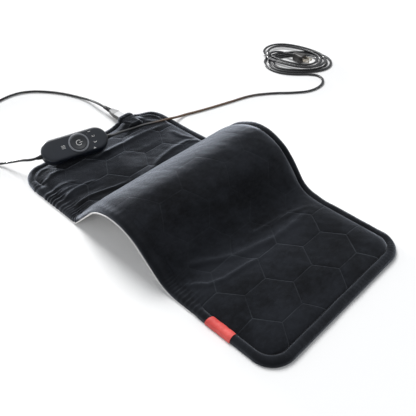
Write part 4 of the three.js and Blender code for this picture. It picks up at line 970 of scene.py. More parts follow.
def makePocketHem():
    # the binding's turn over the pocket's mouth
    v = np.linspace(-hem["reach"], hem["reach"], hem["steps"])
    y = (pocket["halfWidth"] + hem["out"]) * squared(np.sin(v * math.pi / 2), pocket["squareness"])
    tall = pocket["top"] - pocket["base"] + hem["drop"] + hem["over"]
    z = pocket["base"] - hem["drop"] + tall * squared(np.cos(v * math.pi / 2), pocket["squareness"])
    ahead = np.stack([np.gradient(y), np.gradient(z)], -1)
    ahead /= np.linalg.norm(ahead, axis=1)[:, None]
    around = np.arange(hem["sides"]) * 2 * math.pi / hem["sides"]
    wide, high = hem["halfWidth"], hem["half"] * (1 + 0.14 * np.sin(v * 34.0) + 0.1 * np.sin(v * 13.0))
    rings = np.empty((len(v), hem["sides"], 3))
    rings[..., 0] = hem["setBack"] * wide + wide * np.cos(around)
    rings[..., 1] = (pocket["middle"] + y)[:, None] - ahead[:, 1:] * high[:, None] * np.sin(around)
    rings[..., 2] = z[:, None] + ahead[:, :1] * high[:, None] * np.sin(around)
    piece = newPiece("pocketHem", rings + edgeShift, loftFaces(len(v), hem["sides"]), 60.0)
    clothMap(piece, np.broadcast_to((v * 40 * mm)[:, None], rings.shape[:2]),
             np.broadcast_to(around * 3 * mm, rings.shape[:2]))
    return piece


pocketPiece = makePocket()
hemPiece = makePocketHem()
print("pocket sewn")


# hand controller
controller = {
    "place": (30.5, 100.3, 30.585), "turn": 74.0, "tilt": 32.0,
    "length": 120 * mm, "width": 44 * mm, "face": 11.55 * mm, "edgeRadius": 5 * mm, "seam": 0.15 * mm,
    "seamChamfer": 0.35 * mm, "lowerWall": 3 * mm, "belly": 11.4 * mm, "bellyInset": 13 * mm, "wall": 2 * mm,
    "arcSteps": 28, "straightSteps": 14, "edgeSteps": 9, "faceSteps": 6, "sharp": 42.0,
    "buttonAt": 6.7 * mm, "bore": 14.8 * mm, "screwAt": 40 * mm, "screwRecess": 3.1 * mm,
    "recessTop": -11.8 * mm, "recessLow": -30 * mm, "recessSteps": 32,
}

controllerMatrix = (Matrix.Translation(Vector(fromEdge(controller["place"])))
                    @ Matrix.Rotation(math.radians(controller["turn"]), 4, "Z")
                    @ Matrix.Rotation(math.radians(controller["tilt"]), 4, "X"))


def stadium(inset, lift):
    # the case's outline drawn in by inset, at a height over the seam
    radius = controller["width"] / 2 - inset
    reach = controller["length"] / 2 - controller["width"] / 2
    arc = np.linspace(-math.pi / 2, math.pi / 2, controller["arcSteps"])
    right = np.stack([reach + radius * np.cos(arc), radius * np.sin(arc)], -1)
    slide = np.linspace(reach, -reach, controller["straightSteps"] + 1)[1:-1]
    top = np.stack([slide, np.full(len(slide), radius)], -1)
    outline = np.concatenate([right, top])
    outline = np.concatenate([outline, -outline])
    return np.concatenate([outline, np.full((len(outline), 1), lift)], -1)


def boreRing(lift):
    # the button's bore, with its points facing the outline's
    around = stadium(controller["edgeRadius"], lift)
    out = around - [controller["buttonAt"], 0.0, lift]
    out /= np.linalg.norm(out, axis=1)[:, None]
    return out * controller["bore"] + [controller["buttonAt"], 0.0, lift]


def makeUpperShell():
    face, edge, wall, seam = (controller[k] for k in ("face", "edgeRadius", "wall", "seam"))
    rings = []
    for share in np.linspace(0.0, 1.0, controller["faceSteps"]):
        rings.append((1 - share) * boreRing(face) + share * stadium(edge, face))
    for turn in np.linspace(0.0, math.pi / 2, controller["edgeSteps"])[1:]:
        rings.append(stadium(edge * (1 - math.sin(turn)), face - edge * (1 - math.cos(turn))))
    chamfer = controller["seamChamfer"]
    rings += [stadium(0.0, seam + chamfer), stadium(chamfer, seam), stadium(wall, seam)]
    rings += [stadium(wall, face - edge), stadium(edge, face - wall), boreRing(face - wall)]
    faces = loftFaces(len(rings), len(rings[0]), loop=True)
    return newPiece("controllerTop", placed(np.array(rings), controllerMatrix), faces, controller["sharp"])


def makeLowerShell():
    seam, wall, chamfer = controller["seam"], controller["wall"], controller["seamChamfer"]
    straight, belly, inset = controller["lowerWall"], controller["belly"], controller["bellyInset"]
    rings = [stadium(chamfer, -seam), stadium(0.0, -seam - chamfer)]
    turns = np.linspace(0.0, math.pi / 2, controller["edgeSteps"] + 3)
    for turn in turns:
        rings.append(stadium(inset * (1 - math.cos(turn)), -seam - straight - belly * math.sin(turn)))
    inner = [stadium(wall, -seam)]
    for turn in turns:
        inner.append(stadium(wall + (inset - wall) * (1 - math.cos(turn)),
                             -seam - straight - (belly - wall) * math.sin(turn)))
    # both walls keep their bottoms and are joined along the seam
    count = len(rings[0])
    start = len(rings) * count
    faces = []
    for wallRings, first in ((rings, 0), (inner, start)):
        *sides, _, bottom = loftFaces(len(wallRings), count, first=first)
        faces += [*sides, bottom]
    faces += [(k, (k + 1) % count, start + (k + 1) % count, start + k) for k in range(count)]
    points = placed(np.array(rings + inner), controllerMatrix)
    piece = newPiece("controllerBase", points, faces, controller["sharp"])
    for side in (-1, 1):
        profile = [(controller["screwRecess"], controller[k]) for k in ("recessLow", "recessTop")]
        bore, boreFaces = lathed(profile, controller["recessSteps"])
        bore = bore + [side * controller["screwAt"], 0.0, 0.0]
        cutOut(piece, newPiece("recessTool", placed(bore, controllerMatrix), boreFaces))
    piece.data.set_sharp_from_angle(angle=math.radians(controller["sharp"]))
    return piece


button = {
    "radius": 14.3 * mm, "rim": 13.2 * mm, "dish": 1.5 * mm, "dishRadius": 12.7 * mm, "edge": 0.7 * mm,
    "skirt": 7.8 * mm, "flange": 16.9 * mm, "flangeTop": 9.1 * mm, "stem": 3.0 * mm, "stemLow": 5.0 * mm,
    "steps": 96, "edgeSteps": 6, "dishSteps": 16,
}


def dishHeight(share):
    # the button's hollow, from its middle at 0 to its rim at 1
    return button["rim"] - button["dish"] * (1 - np.minimum(share, 1.0) ** 2.4) ** 1.2


def makeButton():
    radius, rim, edge = (button[k] for k in ("radius", "rim", "edge"))
    profile = [(button["stem"], button["stemLow"]), (button["stem"], button["skirt"]),
               (button["flange"], button["skirt"]), (button["flange"], button["flangeTop"]),
               (radius, button["flangeTop"])]
    for turn in np.linspace(0.0, math.pi / 2, button["edgeSteps"]):
        profile.append((radius - edge * (1 - math.cos(turn)), rim - edge * (1 - math.sin(turn))))
    for share in np.linspace(1.0, 0.03, button["dishSteps"]):
        profile.append((button["dishRadius"] * share, dishHeight(share)))
    points, faces = lathed(profile, button["steps"])
    points = points + [controller["buttonAt"], 0.0, 0.0]
    return newPiece("powerButton", placed(points, controllerMatrix), faces, 40.0)


ring = {
    "inner": 14.8 * mm, "outer": 18.0 * mm, "low": 11.5 * mm, "top": 13.1 * mm, "innerEdge": 0.4 * mm,
    "round": 1.4 * mm, "roundSteps": 7, "steps": 96,
}


def makeRing():
    inner, outer, low, top, edge, round_ = (
        ring[k] for k in ("inner", "outer", "low", "top", "innerEdge", "round"))
    section = [(inner, low), (inner, top - edge), (inner + edge, top)]
    for turn in np.linspace(0.0, math.pi / 2, ring["roundSteps"]):
        section.append((outer - round_ + round_ * math.sin(turn), top - round_ * (1 - math.cos(turn))))
    section.append((outer, low))
    out, lift = np.array(section).T
    angles = (np.arange(ring["steps"]) * 2 * math.pi / ring["steps"])[:, None]
    rings = np.stack([out * np.cos(angles) + controller["buttonAt"], out * np.sin(angles),
                      lift + 0 * angles], -1)
    faces = loftFaces(len(rings), len(section), loop=True)
    return newPiece("buttonRing", placed(rings, controllerMatrix), faces, 40.0)


legend = {
    "radius": 28.4 * mm, "angles": (31.5, 8.8, -14.7, -38.2), "size": 7.0 * mm, "raise": 0.07 * mm,
    "signAt": 7.2 * mm, "signRadius": 4.8 * mm, "stroke": 1.05 * mm, "gap": 42.0, "signSteps": 40,
    "barFrom": 0.6 * mm, "barTo": 6.0 * mm, "barSteps": 6, "wavesAt": -21.3 * mm, "waveLength": 6.6 * mm,
    "waveSpace": 2.4 * mm, "waveDepth": 0.6 * mm, "waveStroke": 0.63 * mm, "waveSteps": 22,
}


def printedStroke(line, lift, width):
    # a flat printed stroke along a line, at a height or a list of heights
    line = np.column_stack([np.array(line), np.broadcast_to(lift, len(line))])
    half, high = width / 2, legend["raise"]
    return sweptTube(line, np.array([(-half, 0.0), (half, 0.0), (half * 0.9, high), (-half * 0.9, high)]))


def makeSign():
    # the power sign on the button: an open circle with a bar, its top towards the mains cord
    gap = math.radians(legend["gap"])
    turns = np.linspace(gap, 2 * math.pi - gap, legend["signSteps"])
    middle, radius = legend["signAt"], legend["signRadius"]
    arc = [(middle + radius * math.cos(t), radius * math.sin(t)) for t in turns]
    bar = [(middle + x, 0.0)
           for x in np.linspace(legend["barFrom"], legend["barTo"], legend["barSteps"])]
    parts = []
    for line in (arc, bar):
        out = np.hypot(np.array(line)[:, 0] - controller["buttonAt"], np.array(line)[:, 1])
        parts.append(printedStroke(line, dishHeight(out / button["dishRadius"]), legend["stroke"]))
    points, faces = joined(parts)
    return newPiece("powerSign", placed(points, controllerMatrix), faces)


def makeLegend():
    # numbers 1 to 4 beside their lamps, and three heat waves
    face = controller["face"]
    parts = []
    for number, angle in enumerate(legend["angles"], 1):
        text = bpy.data.curves.new("number", "FONT")
        text.body = str(number)
        text.size = legend["size"]
        text.extrude = legend["raise"] / 2
        text.resolution_u = 4
        text.align_x = "CENTER"
        text.align_y = "CENTER"
        holder = bpy.data.objects.new("number", text)
        scene.collection.objects.link(holder)
        bpy.context.view_layer.update()
        mesh = bpy.data.meshes.new_from_object(holder.evaluated_get(bpy.context.evaluated_depsgraph_get()))
        corners = np.array([v.co for v in mesh.vertices])
        at = math.radians(angle)
        turned = np.stack([corners[:, 1] + controller["buttonAt"] + legend["radius"] * math.cos(at),
                           -corners[:, 0] + legend["radius"] * math.sin(at),
                           corners[:, 2] + face + legend["raise"] / 2], -1)
        parts.append((turned, [tuple(p.vertices) for p in mesh.polygons]))
        bpy.data.objects.remove(holder)
        bpy.data.meshes.remove(mesh)
        bpy.data.curves.remove(text)
    for k in (-1, 0, 1):
        steps = np.linspace(-0.5, 0.5, legend["waveSteps"])
        line = [(legend["wavesAt"] + legend["waveLength"] * t,
                 k * legend["waveSpace"] + legend["waveDepth"] * math.sin(t * 3 * math.pi)) for t in steps]
        parts.append(printedStroke(line, face, legend["waveStroke"]))
    points, faces = joined(parts)
    return newPiece("faceLegend", placed(points, controllerMatrix), faces)


grommet = {
    "from": 60.2 * mm, "to": 69.4 * mm, "root": 4.6 * mm, "tip": 3.15 * mm, "ribs": 3, "groove": 0.4 * mm,
    "stub": 4 * mm,
}


def makeRelief(name, form, matrix, side):
    # a tapered strain relief with rounded ribs; its tip points along x when side is 1, against it when -1
    start, end, root, tip, ribs = (form[k] for k in ("from", "to", "root", "tip", "ribs"))
    profile = [(root * 0.75, start - form["stub"])] if "stub" in form else []
    profile += [(root * 0.8, start), (root, start + 0.4 * mm)]
    for share in np.arange(ribs * 8 + 1) / (ribs * 8):
        dip = form["groove"] * (0.5 - 0.5 * math.cos(share * ribs * 2 * math.pi)) ** 2
        lift = start + 0.8 * mm + (end - start - 1.3 * mm) * share
        profile.append((root + (tip - root) * share - dip, lift))
    profile.append((tip * 0.86, end))
    points, faces = lathed([(r, x * side) for r, x in profile], 32, "x")
    return newPiece(name, placed(points, matrix), faces, 50.0)


upperShellPiece = makeUpperShell()
lowerShellPiece = makeLowerShell()
buttonPiece = makeButton()
ringPiece = makeRing()
signPiece = makeSign()
legendPiece = makeLegend()
mainsGrommet = makeRelief("mainsGrommet", grommet, controllerMatrix, 1)
leadGrommet = makeRelief("leadGrommet", grommet, controllerMatrix, -1)
print("controller assembled")


# push-in connector
connector = {
    "axis": (0.0, 236.0, 12.3), "rear": -39.3 * mm, "front": 2.7 * mm, "halfWidth": 8.0 * mm,
    "half": 5.5 * mm, "seam": 0.15 * mm, "squareness": 5.5, "rearWidth": 0.68, "rearHeight": 0.86,
    "taper": 15 * mm, "taperSteps": 10, "step": 0.75 * mm, "ribAt": -34 * mm, "ribPitch": 2.6 * mm, "ribs": 4,
    "rib": 0.4 * mm, "panelAt": -22.0 * mm, "panelStep": 0.45 * mm, "panelRun": 1 * mm, "sideTop": 3.6 * mm,
    "noseHalfWidth": 6.5 * mm, "noseHalf": 3.5 * mm, "noseEnd": 19.2 * mm, "noseRound": 0.6 * mm,
    "aroundSteps": 25,
    # distance past the front and how far the sides are drawn in there
    "frontRound": [(-0.4 * mm, 0.15 * mm), (0.0, 0.7 * mm)],
}
connectorRelief = {
    "from": 39.5 * mm, "to": 61.6 * mm, "root": 5.0 * mm, "tip": 3.4 * mm, "ribs": 5, "groove": 1.5 * mm,
}
connectorMatrix = Matrix.Translation(Vector(fromEdge(connector["axis"])))


def makeConnectorHalf(name, side):
    stations = []
    taperEnd = connector["rear"] + connector["taper"]
    for x in np.concatenate([np.linspace(connector["rear"], taperEnd, connector["taperSteps"])[:-1],
                             np.arange(taperEnd, connector["front"] - 1 * mm, connector["step"])]):
        grow = float(smoothStep((x - connector["rear"]) / connector["taper"]))
        wide = connector["halfWidth"] * (connector["rearWidth"] + (1 - connector["rearWidth"]) * grow)
        high = connector["half"] * (connector["rearHeight"] + (1 - connector["rearHeight"]) * grow)
        if side > 0:
            grip = (x - connector["ribAt"]) / connector["ribPitch"]
            if 0.0 < grip < connector["ribs"]:
                high -= connector["rib"] * (0.5 - 0.5 * math.cos(2 * math.pi * grip)) ** 3
            if x > connector["panelAt"]:
                stepped = (x - connector["panelAt"]) / connector["panelRun"]
                high -= connector["panelStep"] * float(smoothStep(stepped))
        stations.append((x, wide, high))
    front, end, round_ = (connector[k] for k in ("front", "noseEnd", "noseRound"))
    stations += [(front + past, wide - drawn, high - drawn) for past, drawn in connector["frontRound"]]
    wide, high = connector["noseHalfWidth"], connector["noseHalf"]
    stations += [(front + 0.02 * mm, wide, high), (end - round_, wide, high),
                 (end, wide - round_, high - round_)]
    turn = np.linspace(0.0, math.pi, connector["aroundSteps"])
    around, over = (squared(wave(turn), connector["squareness"]) for wave in (np.cos, np.sin))
    rings = []
    for x, wide, high in stations:
        y, z = wide * around, connector["seam"] + (high - connector["seam"]) * over
        rings.append(np.stack([np.full(len(turn), x), y, z * side], -1))
    faces = loftFaces(len(rings), len(turn))
    return newPiece(name, placed(np.array(rings), connectorMatrix), faces, 35.0)


connectorTop = makeConnectorHalf("connectorTop", 1)
connectorBase = makeConnectorHalf("connectorBase", -1)
connectorReliefPiece = makeRelief("connectorRelief", connectorRelief, connectorMatrix, -1)
print("connector assembled")


# mains plug on the hank
plug = {
    "from": 20.6 * mm, "to": 46.6 * mm, "rearHalf": 6.5 * mm, "frontHalf": 11.5 * mm, "widening": 0.9,
    "half": 8.5 * mm, "squareness": 4.2, "round": 1.4 * mm, "grips": 4, "grip": 0.45 * mm, "gripFrom": 0.1,
    "gripSpan": 0.55, "endStep": 0.5 * mm, "alongSteps": 40, "aroundSteps": 44,
}
plugRelief = {
    "from": -20.4 * mm, "to": -0.3 * mm, "root": 5.0 * mm, "tip": 3.2 * mm, "ribs": 6, "groove": 0.8 * mm,
}
plugMatrix = Matrix.Translation(Vector(hankEnd)) @ Matrix.Rotation(math.radians(hank["plugHeading"]), 4, "Z")


def makePlugBody():
    rear, front, step = plug["from"], plug["to"], plug["endStep"]
    turn = np.arange(plug["aroundSteps"]) * 2 * math.pi / plug["aroundSteps"]
    around, over = (squared(wave(turn), plug["squareness"]) for wave in (np.cos, np.sin))
    rings = []
    for x in np.concatenate([[rear], np.linspace(rear + step, front - step, plug["alongSteps"]), [front]]):
        share = (x - rear) / (front - rear)
        widened = float(smoothStep(share / plug["widening"]))
        wide = plug["rearHalf"] + (plug["frontHalf"] - plug["rearHalf"]) * widened
        high = plug["half"]
        fromEnd = min(x - rear, front - x)
        if fromEnd < plug["round"]:
            drop = plug["round"] * (1 - math.sqrt(1 - (1 - fromEnd / plug["round"]) ** 2))
            wide, high = wide - drop, high - drop
        held = (share - plug["gripFrom"]) / plug["gripSpan"]
        hold = math.sin(math.pi * min(max(held, 0.0), 1.0))
        wide -= plug["grip"] * hold * (0.5 - 0.5 * math.cos(2 * math.pi * plug["grips"] * held))
        rings.append(np.stack([np.full(len(turn), x), wide * around, high * over], -1))
    faces = loftFaces(len(rings), len(turn))
    return newPiece("plugBody", placed(np.array(rings), plugMatrix), faces, 40.0)


blade = {
    "from": 40.6 * mm, "to": 63.6 * mm, "at": 6.35 * mm, "thick": 1.5 * mm, "wide": 6.3 * mm,
    "bevel": 1.4 * mm, "edge": 0.25 * mm, "sharp": 30.0,
    "hole": 1.6 * mm, "holeFromTip": 5.2 * mm, "holeReach": 4 * mm, "holeSteps": 28,
}


def makeBlade(name, side):
    start, end, bevel, thin = (blade[k] for k in ("from", "to", "bevel", "edge"))
    half, thick = blade["wide"] / 2, blade["thick"] / 2
    outline = [(start, half), (end - bevel, half), (end - bevel * 0.3, half - bevel * 0.45),
               (end, half - bevel)]
    outline = [(x, -z) for x, z in outline] + outline[::-1]
    rings = []
    for y, drawn in ((-thick, thin), (-thick + thin, 0.0), (thick - thin, 0.0), (thick, thin)):
        rings.append([(x - (drawn if x > start else 0.0), side * blade["at"] + y,
                       z * (1 - drawn / half)) for x, z in outline])
    piece = newPiece(name, placed(np.array(rings), plugMatrix), loftFaces(4, len(outline)), blade["sharp"])
    reach = blade["holeReach"]
    hole, holeFaces = lathed([(blade["hole"], -reach), (blade["hole"], reach)], blade["holeSteps"])
    hole = hole[..., [0, 2, 1]] + [end - blade["holeFromTip"], side * blade["at"], 0.0]
    cutOut(piece, newPiece("holeTool", placed(hole, plugMatrix), holeFaces))
    piece.data.set_sharp_from_angle(angle=math.radians(blade["sharp"]))
    return piece


plugBody = makePlugBody()
plugReliefPiece = makeRelief("plugRelief", plugRelief, plugMatrix, -1)
blades = [makeBlade("plugBladeLeft", 1), makeBlade("plugBladeRight", -1)]
print("plug assembled")


# finishes
velvet = {
    # line is the lighter colour of the pressed quilting lines: partly their own tone, partly painted sheen
    "dark": (0.0070, 0.0072, 0.0080), "light": (0.0175, 0.0192, 0.0235), "line": (0.042, 0.048, 0.054),
    "lineFrom": 0.1 * mm, "lineWidth": 0.8 * mm, "dipWidth": 1.4 * mm, "pile": 0.0004,
    "sheen": 1.0, "sheenRough": 0.36, "sheenTint": (0.82, 0.88, 1.0, 1.0),
    # the cloth is stretched over the crest, so its lines are fainter there
    "overFrom": (0.18, 0.22), "overTo": (0.42, 0.49), "overFade": 0.65,
}


def hexMask(tree):
    # the distance to the nearest quilting line, from the flat cloth's coordinates
    cloth = addNode(tree, "UVMap", uv_map="cloth")
    flat = addNode(tree, "SeparateXYZ", [("Vector", cloth.outputs[0])])
    slip = spread(tree, flat.outputs[0], quilt["slipFrom"], quilt["slipTo"], quilt["slip"], 0.0)
    along = calc(tree, "ADD", flat.outputs[0], slip)
    u = calc(tree, "DIVIDE", calc(tree, "SUBTRACT", along, quilt["offset"]), quilt["pitch"])
    v = calc(tree, "DIVIDE", calc(tree, "SUBTRACT", flat.outputs[1], quilt["middle"]), quilt["rowPitch"])

    def cell(uShift, vShift):
        moved = calc(tree, "SUBTRACT", u, uShift)
        du = calc(tree, "ABSOLUTE", calc(tree, "SUBTRACT", moved, calc(tree, "ROUND", moved)))
        half = calc(tree, "DIVIDE", calc(tree, "SUBTRACT", v, vShift), 2.0)
        dv = calc(tree, "ABSOLUTE", calc(tree, "SUBTRACT", half, calc(tree, "ROUND", half)))
        straight = calc(tree, "MULTIPLY", calc(tree, "SUBTRACT", 0.5, du), quilt["pitch"])
        lean = calc(tree, "MULTIPLY_ADD", dv, 2.0, calc(tree, "MULTIPLY", du, 2 / 3))
        lean = calc(tree, "SUBTRACT", 2 / 3, lean)
        return calc(tree, "MINIMUM", straight,
                    calc(tree, "MULTIPLY", lean, quilt["rowPitch"] / math.hypot(1.0, 2 / 3)))

    return calc(tree, "MAXIMUM", cell(0.5, 0.0), cell(0.0, 1.0))


def velvetFinish(name, quilted):
    finish, tree, shader = newFinish(
        name, 0.6, **{"Specular IOR Level": 0.0, "Sheen Weight": velvet["sheen"],
                       "Sheen Roughness": velvet["sheenRough"], "Sheen Tint": velvet["sheenTint"]})
    nap = speckle(tree, 11.0, 4.0, (1.0, 0.6, 1.0))
    rubbed = speckle(tree, 46.0, 5.0, (1.0, 1.0, 1.0), 0.62)
    pile = speckle(tree, 1500.0, 2.0, (1.0, 0.55, 1.0))
    fleck = speckle(tree, 240.0, 4.0, (1.0, 0.5, 1.0), 0.7)
    broad = spread(tree, calc(tree, "MULTIPLY_ADD", rubbed, 0.5, nap), 0.55, 0.98, 0.0, 1.0)
    share = calc(tree, "MULTIPLY_ADD", spread(tree, fleck, 0.35, 0.7, -0.14, 0.24), 1.0, broad)
    colour = shades(tree, share, velvet["dark"], velvet["light"])
    height = calc(tree, "MULTIPLY_ADD", rubbed, 0.5, calc(tree, "MULTIPLY_ADD", fleck, 0.5, pile))
    if quilted:
        away = hexMask(tree)
        lineShowing = spread(tree, speckle(tree, 24.0, 3.0), 0.4, 0.66, 0.08, 0.9)
        cloth = addNode(tree, "UVMap", uv_map="cloth")
        along = addNode(tree, "SeparateXYZ", [("Vector", cloth.outputs[0])]).outputs[0]
        over = calc(tree, "MULTIPLY", spread(tree, along, *velvet["overFrom"], 0.0, velvet["overFade"]),
                    spread(tree, along, *velvet["overTo"], 1.0, 0.0))
        lineShowing = calc(tree, "MULTIPLY", lineShowing, calc(tree, "SUBTRACT", 1.0, over))
        # the pressed lines are coloured lighter, partly their own tone and partly a painted sheen, fading at
        # random along their length
        line = calc(tree, "MULTIPLY", spread(tree, away, velvet["lineFrom"], velvet["lineWidth"], 1.0, 0.0),
                    lineShowing)
        colour = shades(tree, line, colour, velvet["line"])
        dip = calc(tree, "MULTIPLY", spread(tree, away, 0.0, velvet["dipWidth"], 1.2, 0.0),
                   calc(tree, "SUBTRACT", 1.0, over))
        height = calc(tree, "SUBTRACT", height, dip)
    tree.links.new(colour, shader.inputs["Base Color"])
    tree.links.new(spread(tree, rubbed, 0.3, 0.7, 0.72, 0.5), shader.inputs["Roughness"])
    bumped(tree, shader, height, velvet["pile"], 0.8)
    return finish


def wovenFinish(name, dark, light, roughness, thread, depth, **sockets):
    # plain weave over the cloth's own coordinates
    finish, tree, shader = newFinish(name, roughness, **sockets)
    cloth = addNode(tree, "UVMap", uv_map="cloth")
    waves = []
    for direction in ("X", "Y"):
        wave = addNode(tree, "TexWave", [("Vector", cloth.outputs[0])], bands_direction=direction,
                       Scale=0.314 / thread, Distortion=1.2, Detail=1.0)
        waves.append(wave.outputs[1])
    weave = calc(tree, "MULTIPLY", waves[0], waves[1])
    soiled = speckle(tree, 26.0, 4.0)
    share = calc(tree, "MULTIPLY_ADD", weave, 0.45, spread(tree, soiled, 0.3, 0.7, 0.1, 0.6))
    tree.links.new(shades(tree, share, dark, light), shader.inputs["Base Color"])
    tree.links.new(spread(tree, weave, 0.0, 1.0, roughness + 0.06, roughness - 0.06),
                   shader.inputs["Roughness"])
    bumped(tree, shader, weave, depth)
    return finish


def capFinish(name):
    # a mid-grey grip with a pale panel in front of it, both on dark sides
    finish, tree, shader = newFinish(name, 0.42, **{"Specular IOR Level": 0.3})
    place = addNode(tree, "TexCoord")
    at = addNode(tree, "SeparateXYZ", [("Vector", place.outputs["Object"])])
    middle = fromEdge(connector["axis"])
    panel, side = float(middle[0] + connector["panelAt"]), float(middle[2] + connector["sideTop"])
    front = spread(tree, at.outputs[0], panel - 0.3 * mm, panel + 0.3 * mm, 0.0, 1.0)
    upper = spread(tree, at.outputs[2], side - 0.4 * mm, side + 0.4 * mm, 0.0, 1.0)
    grain = speckle(tree, 1300.0, 2.0)
    dark = shades(tree, grain, (0.085, 0.083, 0.082), (0.11, 0.108, 0.107))
    grip = shades(tree, grain, (0.3, 0.3, 0.305), (0.37, 0.37, 0.375))
    pale = shades(tree, grain, (0.64, 0.64, 0.65), (0.72, 0.72, 0.73))
    tree.links.new(shades(tree, upper, dark, shades(tree, front, grip, pale)), shader.inputs["Base Color"])
    bumped(tree, shader, grain, 0.00004)
    return finish


def sheathFinish(name):
    # a black sheath with a brown reflection painted onto the stretch beside the pad
    finish, tree, shader = newFinish(name, 0.25, **{"Specular IOR Level": 0.5})
    place = addNode(tree, "TexCoord")
    across = addNode(tree, "SeparateXYZ", [("Vector", place.outputs["Object"])]).outputs[1]
    brownReflectionShare = calc(tree, "MULTIPLY", spread(tree, across, 0.09, 0.14, 0.0, 1.0),
                 spread(tree, across, 0.25, 0.38, 1.0, 0.0))
    cloud = speckle(tree, 38.0, 4.0)
    plain = shades(tree, cloud, (0.0065, 0.007, 0.0088), (0.014, 0.015, 0.018))
    # painted reflection: the sheath is coloured brown where the light catches it beside the pad
    paintedBrownReflection = shades(tree, cloud, (0.055, 0.027, 0.012), (0.11, 0.056, 0.025))
    tree.links.new(shades(tree, brownReflectionShare, plain, paintedBrownReflection), shader.inputs["Base Color"])
    tree.links.new(spread(tree, across, 0.36, 0.42, 0.55, 0.24), shader.inputs["Roughness"])
    bumped(tree, shader, speckle(tree, 700.0, 2.0), 0.00002)
    return finish


coverCloth = velvetFinish("quiltedVelvet", True)
pocketCloth = velvetFinish("plainVelvet", False)
bindingCloth = wovenFinish("bindingCloth", velvet["dark"], velvet["light"], 0.6, 0.5 * mm, 0.00006,
                           **{"Sheen Weight": 0.75, "Sheen Roughness": 0.4, "Sheen Tint": velvet["sheenTint"],
                              "Specular IOR Level": 0.0})
threadCloth = moulded("stitchThread", (0.012, 0.012, 0.014), (0.03, 0.03, 0.034), 0.6, 2600.0, 0.00005)
backingCloth = wovenFinish("backingCloth", (0.8, 0.79, 0.78), (0.92, 0.915, 0.91), 0.88, 1.1 * mm, 0.00015)
tagCloth = wovenFinish("tagSatin", (0.66, 0.05, 0.046), (0.92, 0.125, 0.105), 0.5, 0.55 * mm, 0.00006,
                       **{"Sheen Weight": 0.1, "Sheen Roughness": 0.4})
cordRubber = moulded("cordSheath", (0.0065, 0.0068, 0.008), (0.013, 0.0134, 0.015), 0.28, 700.0, 0.00002,
                     **{"Specular IOR Level": 0.45})
mainsRubber = sheathFinish("mainsSheath")
casePlastic = moulded("casePlastic", (0.0105, 0.014, 0.0215), (0.015, 0.0195, 0.0295), 0.38, 1500.0, 0.00005)
buttonPlastic = moulded("buttonPlastic", (0.02, 0.023, 0.028), (0.03, 0.034, 0.04), 0.36, 1500.0, 0.00004)
# the ring is coloured far lighter than the case: a painted highlight for its lit rim
ringPaintedHighlight = moulded("ringPaintedHighlight", (0.19, 0.2, 0.225), (0.28, 0.29, 0.315), 0.24, 900.0, 0.00002)
printWhite = moulded("printedInk", (0.8, 0.8, 0.79), (0.92, 0.92, 0.91), 0.55, 2200.0, 0.00002)
capPlastic = capFinish("connectorCap")
basePlastic = moulded("connectorBase", (0.085, 0.083, 0.082), (0.11, 0.108, 0.107), 0.42, 1300.0, 0.00004)
plugPlastic = moulded("plugPlastic", (0.014, 0.0115, 0.0105), (0.026, 0.021, 0.019), 0.38, 900.0, 0.00005)
bladeBrass = turnedMetal("bladeBrass", (0.6, 0.54, 0.44), (0.76, 0.7, 0.6), 0.28)
contactBrass = turnedMetal("contactBrass", (0.68, 0.50, 0.25), (0.82, 0.64, 0.36), 0.3)
screwSteel = turnedMetal("screwSteel", (0.42, 0.42, 0.43), (0.58, 0.58, 0.6), 0.3)
tinMetal = turnedMetal("thermostatTin", (0.5, 0.5, 0.5), (0.66, 0.66, 0.65), 0.34)
feltCloth = moulded("heaterFelt", (0.44, 0.42, 0.39), (0.62, 0.6, 0.56), 0.95, 500.0, 0.0003)
wireRubber = moulded("wireInsulation", (0.55, 0.5, 0.4), (0.68, 0.63, 0.52), 0.5)
socketPlastic = moulded("socketPlastic", (0.03, 0.03, 0.032), (0.05, 0.05, 0.053), 0.45)
lightPlastic = moulded("lightPlastic", (0.05, 0.053, 0.056), (0.08, 0.083, 0.086), 0.25, 1800.0, 0.00001,
                       **{"Transmission Weight": 0.25})
boardLaminate = moulded("boardLaminate", (0.015, 0.09, 0.03), (0.03, 0.15, 0.055), 0.35)
partBlack = moulded("partBlack", (0.012, 0.012, 0.013), (0.024, 0.024, 0.025), 0.5)
plungerPlastic = moulded("plungerPlastic", (0.3, 0.3, 0.31), (0.42, 0.42, 0.43), 0.4)
capacitorFilm = moulded("capacitorFilm", (0.5, 0.12, 0.03), (0.62, 0.2, 0.05), 0.35)
fuseGlass = moulded("fuseGlass", (0.7, 0.73, 0.73), (0.8, 0.83, 0.83), 0.12, 300.0, 0.00001,
                    **{"Transmission Weight": 0.7})

# the CAD pieces that show, or would show once the case or pad is opened
nodeFinishes = [
    (feltCloth, "heater_felt_lower", "heater_felt_upper"), (wireRubber, "heating_wire"),
    (tinMetal, "thermostat_1", "thermostat_2"), (socketPlastic, "socket_housing"),
    (contactBrass, "socket_pin_1", "socket_pin_2", "contact_sleeve_1", "contact_sleeve_2"),
    (screwSteel, "case_screw_1", "case_screw_2"), (boardLaminate, "circuit_board"),
    (partBlack, "switch_body", "triac"), (plungerPlastic, "switch_plunger"),
    (lightPlastic, "light_guide", "lamp_1", "lamp_2", "lamp_3", "lamp_4"),
    (capacitorFilm, "film_capacitor"), (fuseGlass, "fuse"),
]
for nodeFinish, *nodeNames in nodeFinishes:
    for nodeName in nodeNames:
        cadNodes[nodeName].data.materials.clear()
        cadNodes[nodeName].data.materials.append(nodeFinish)

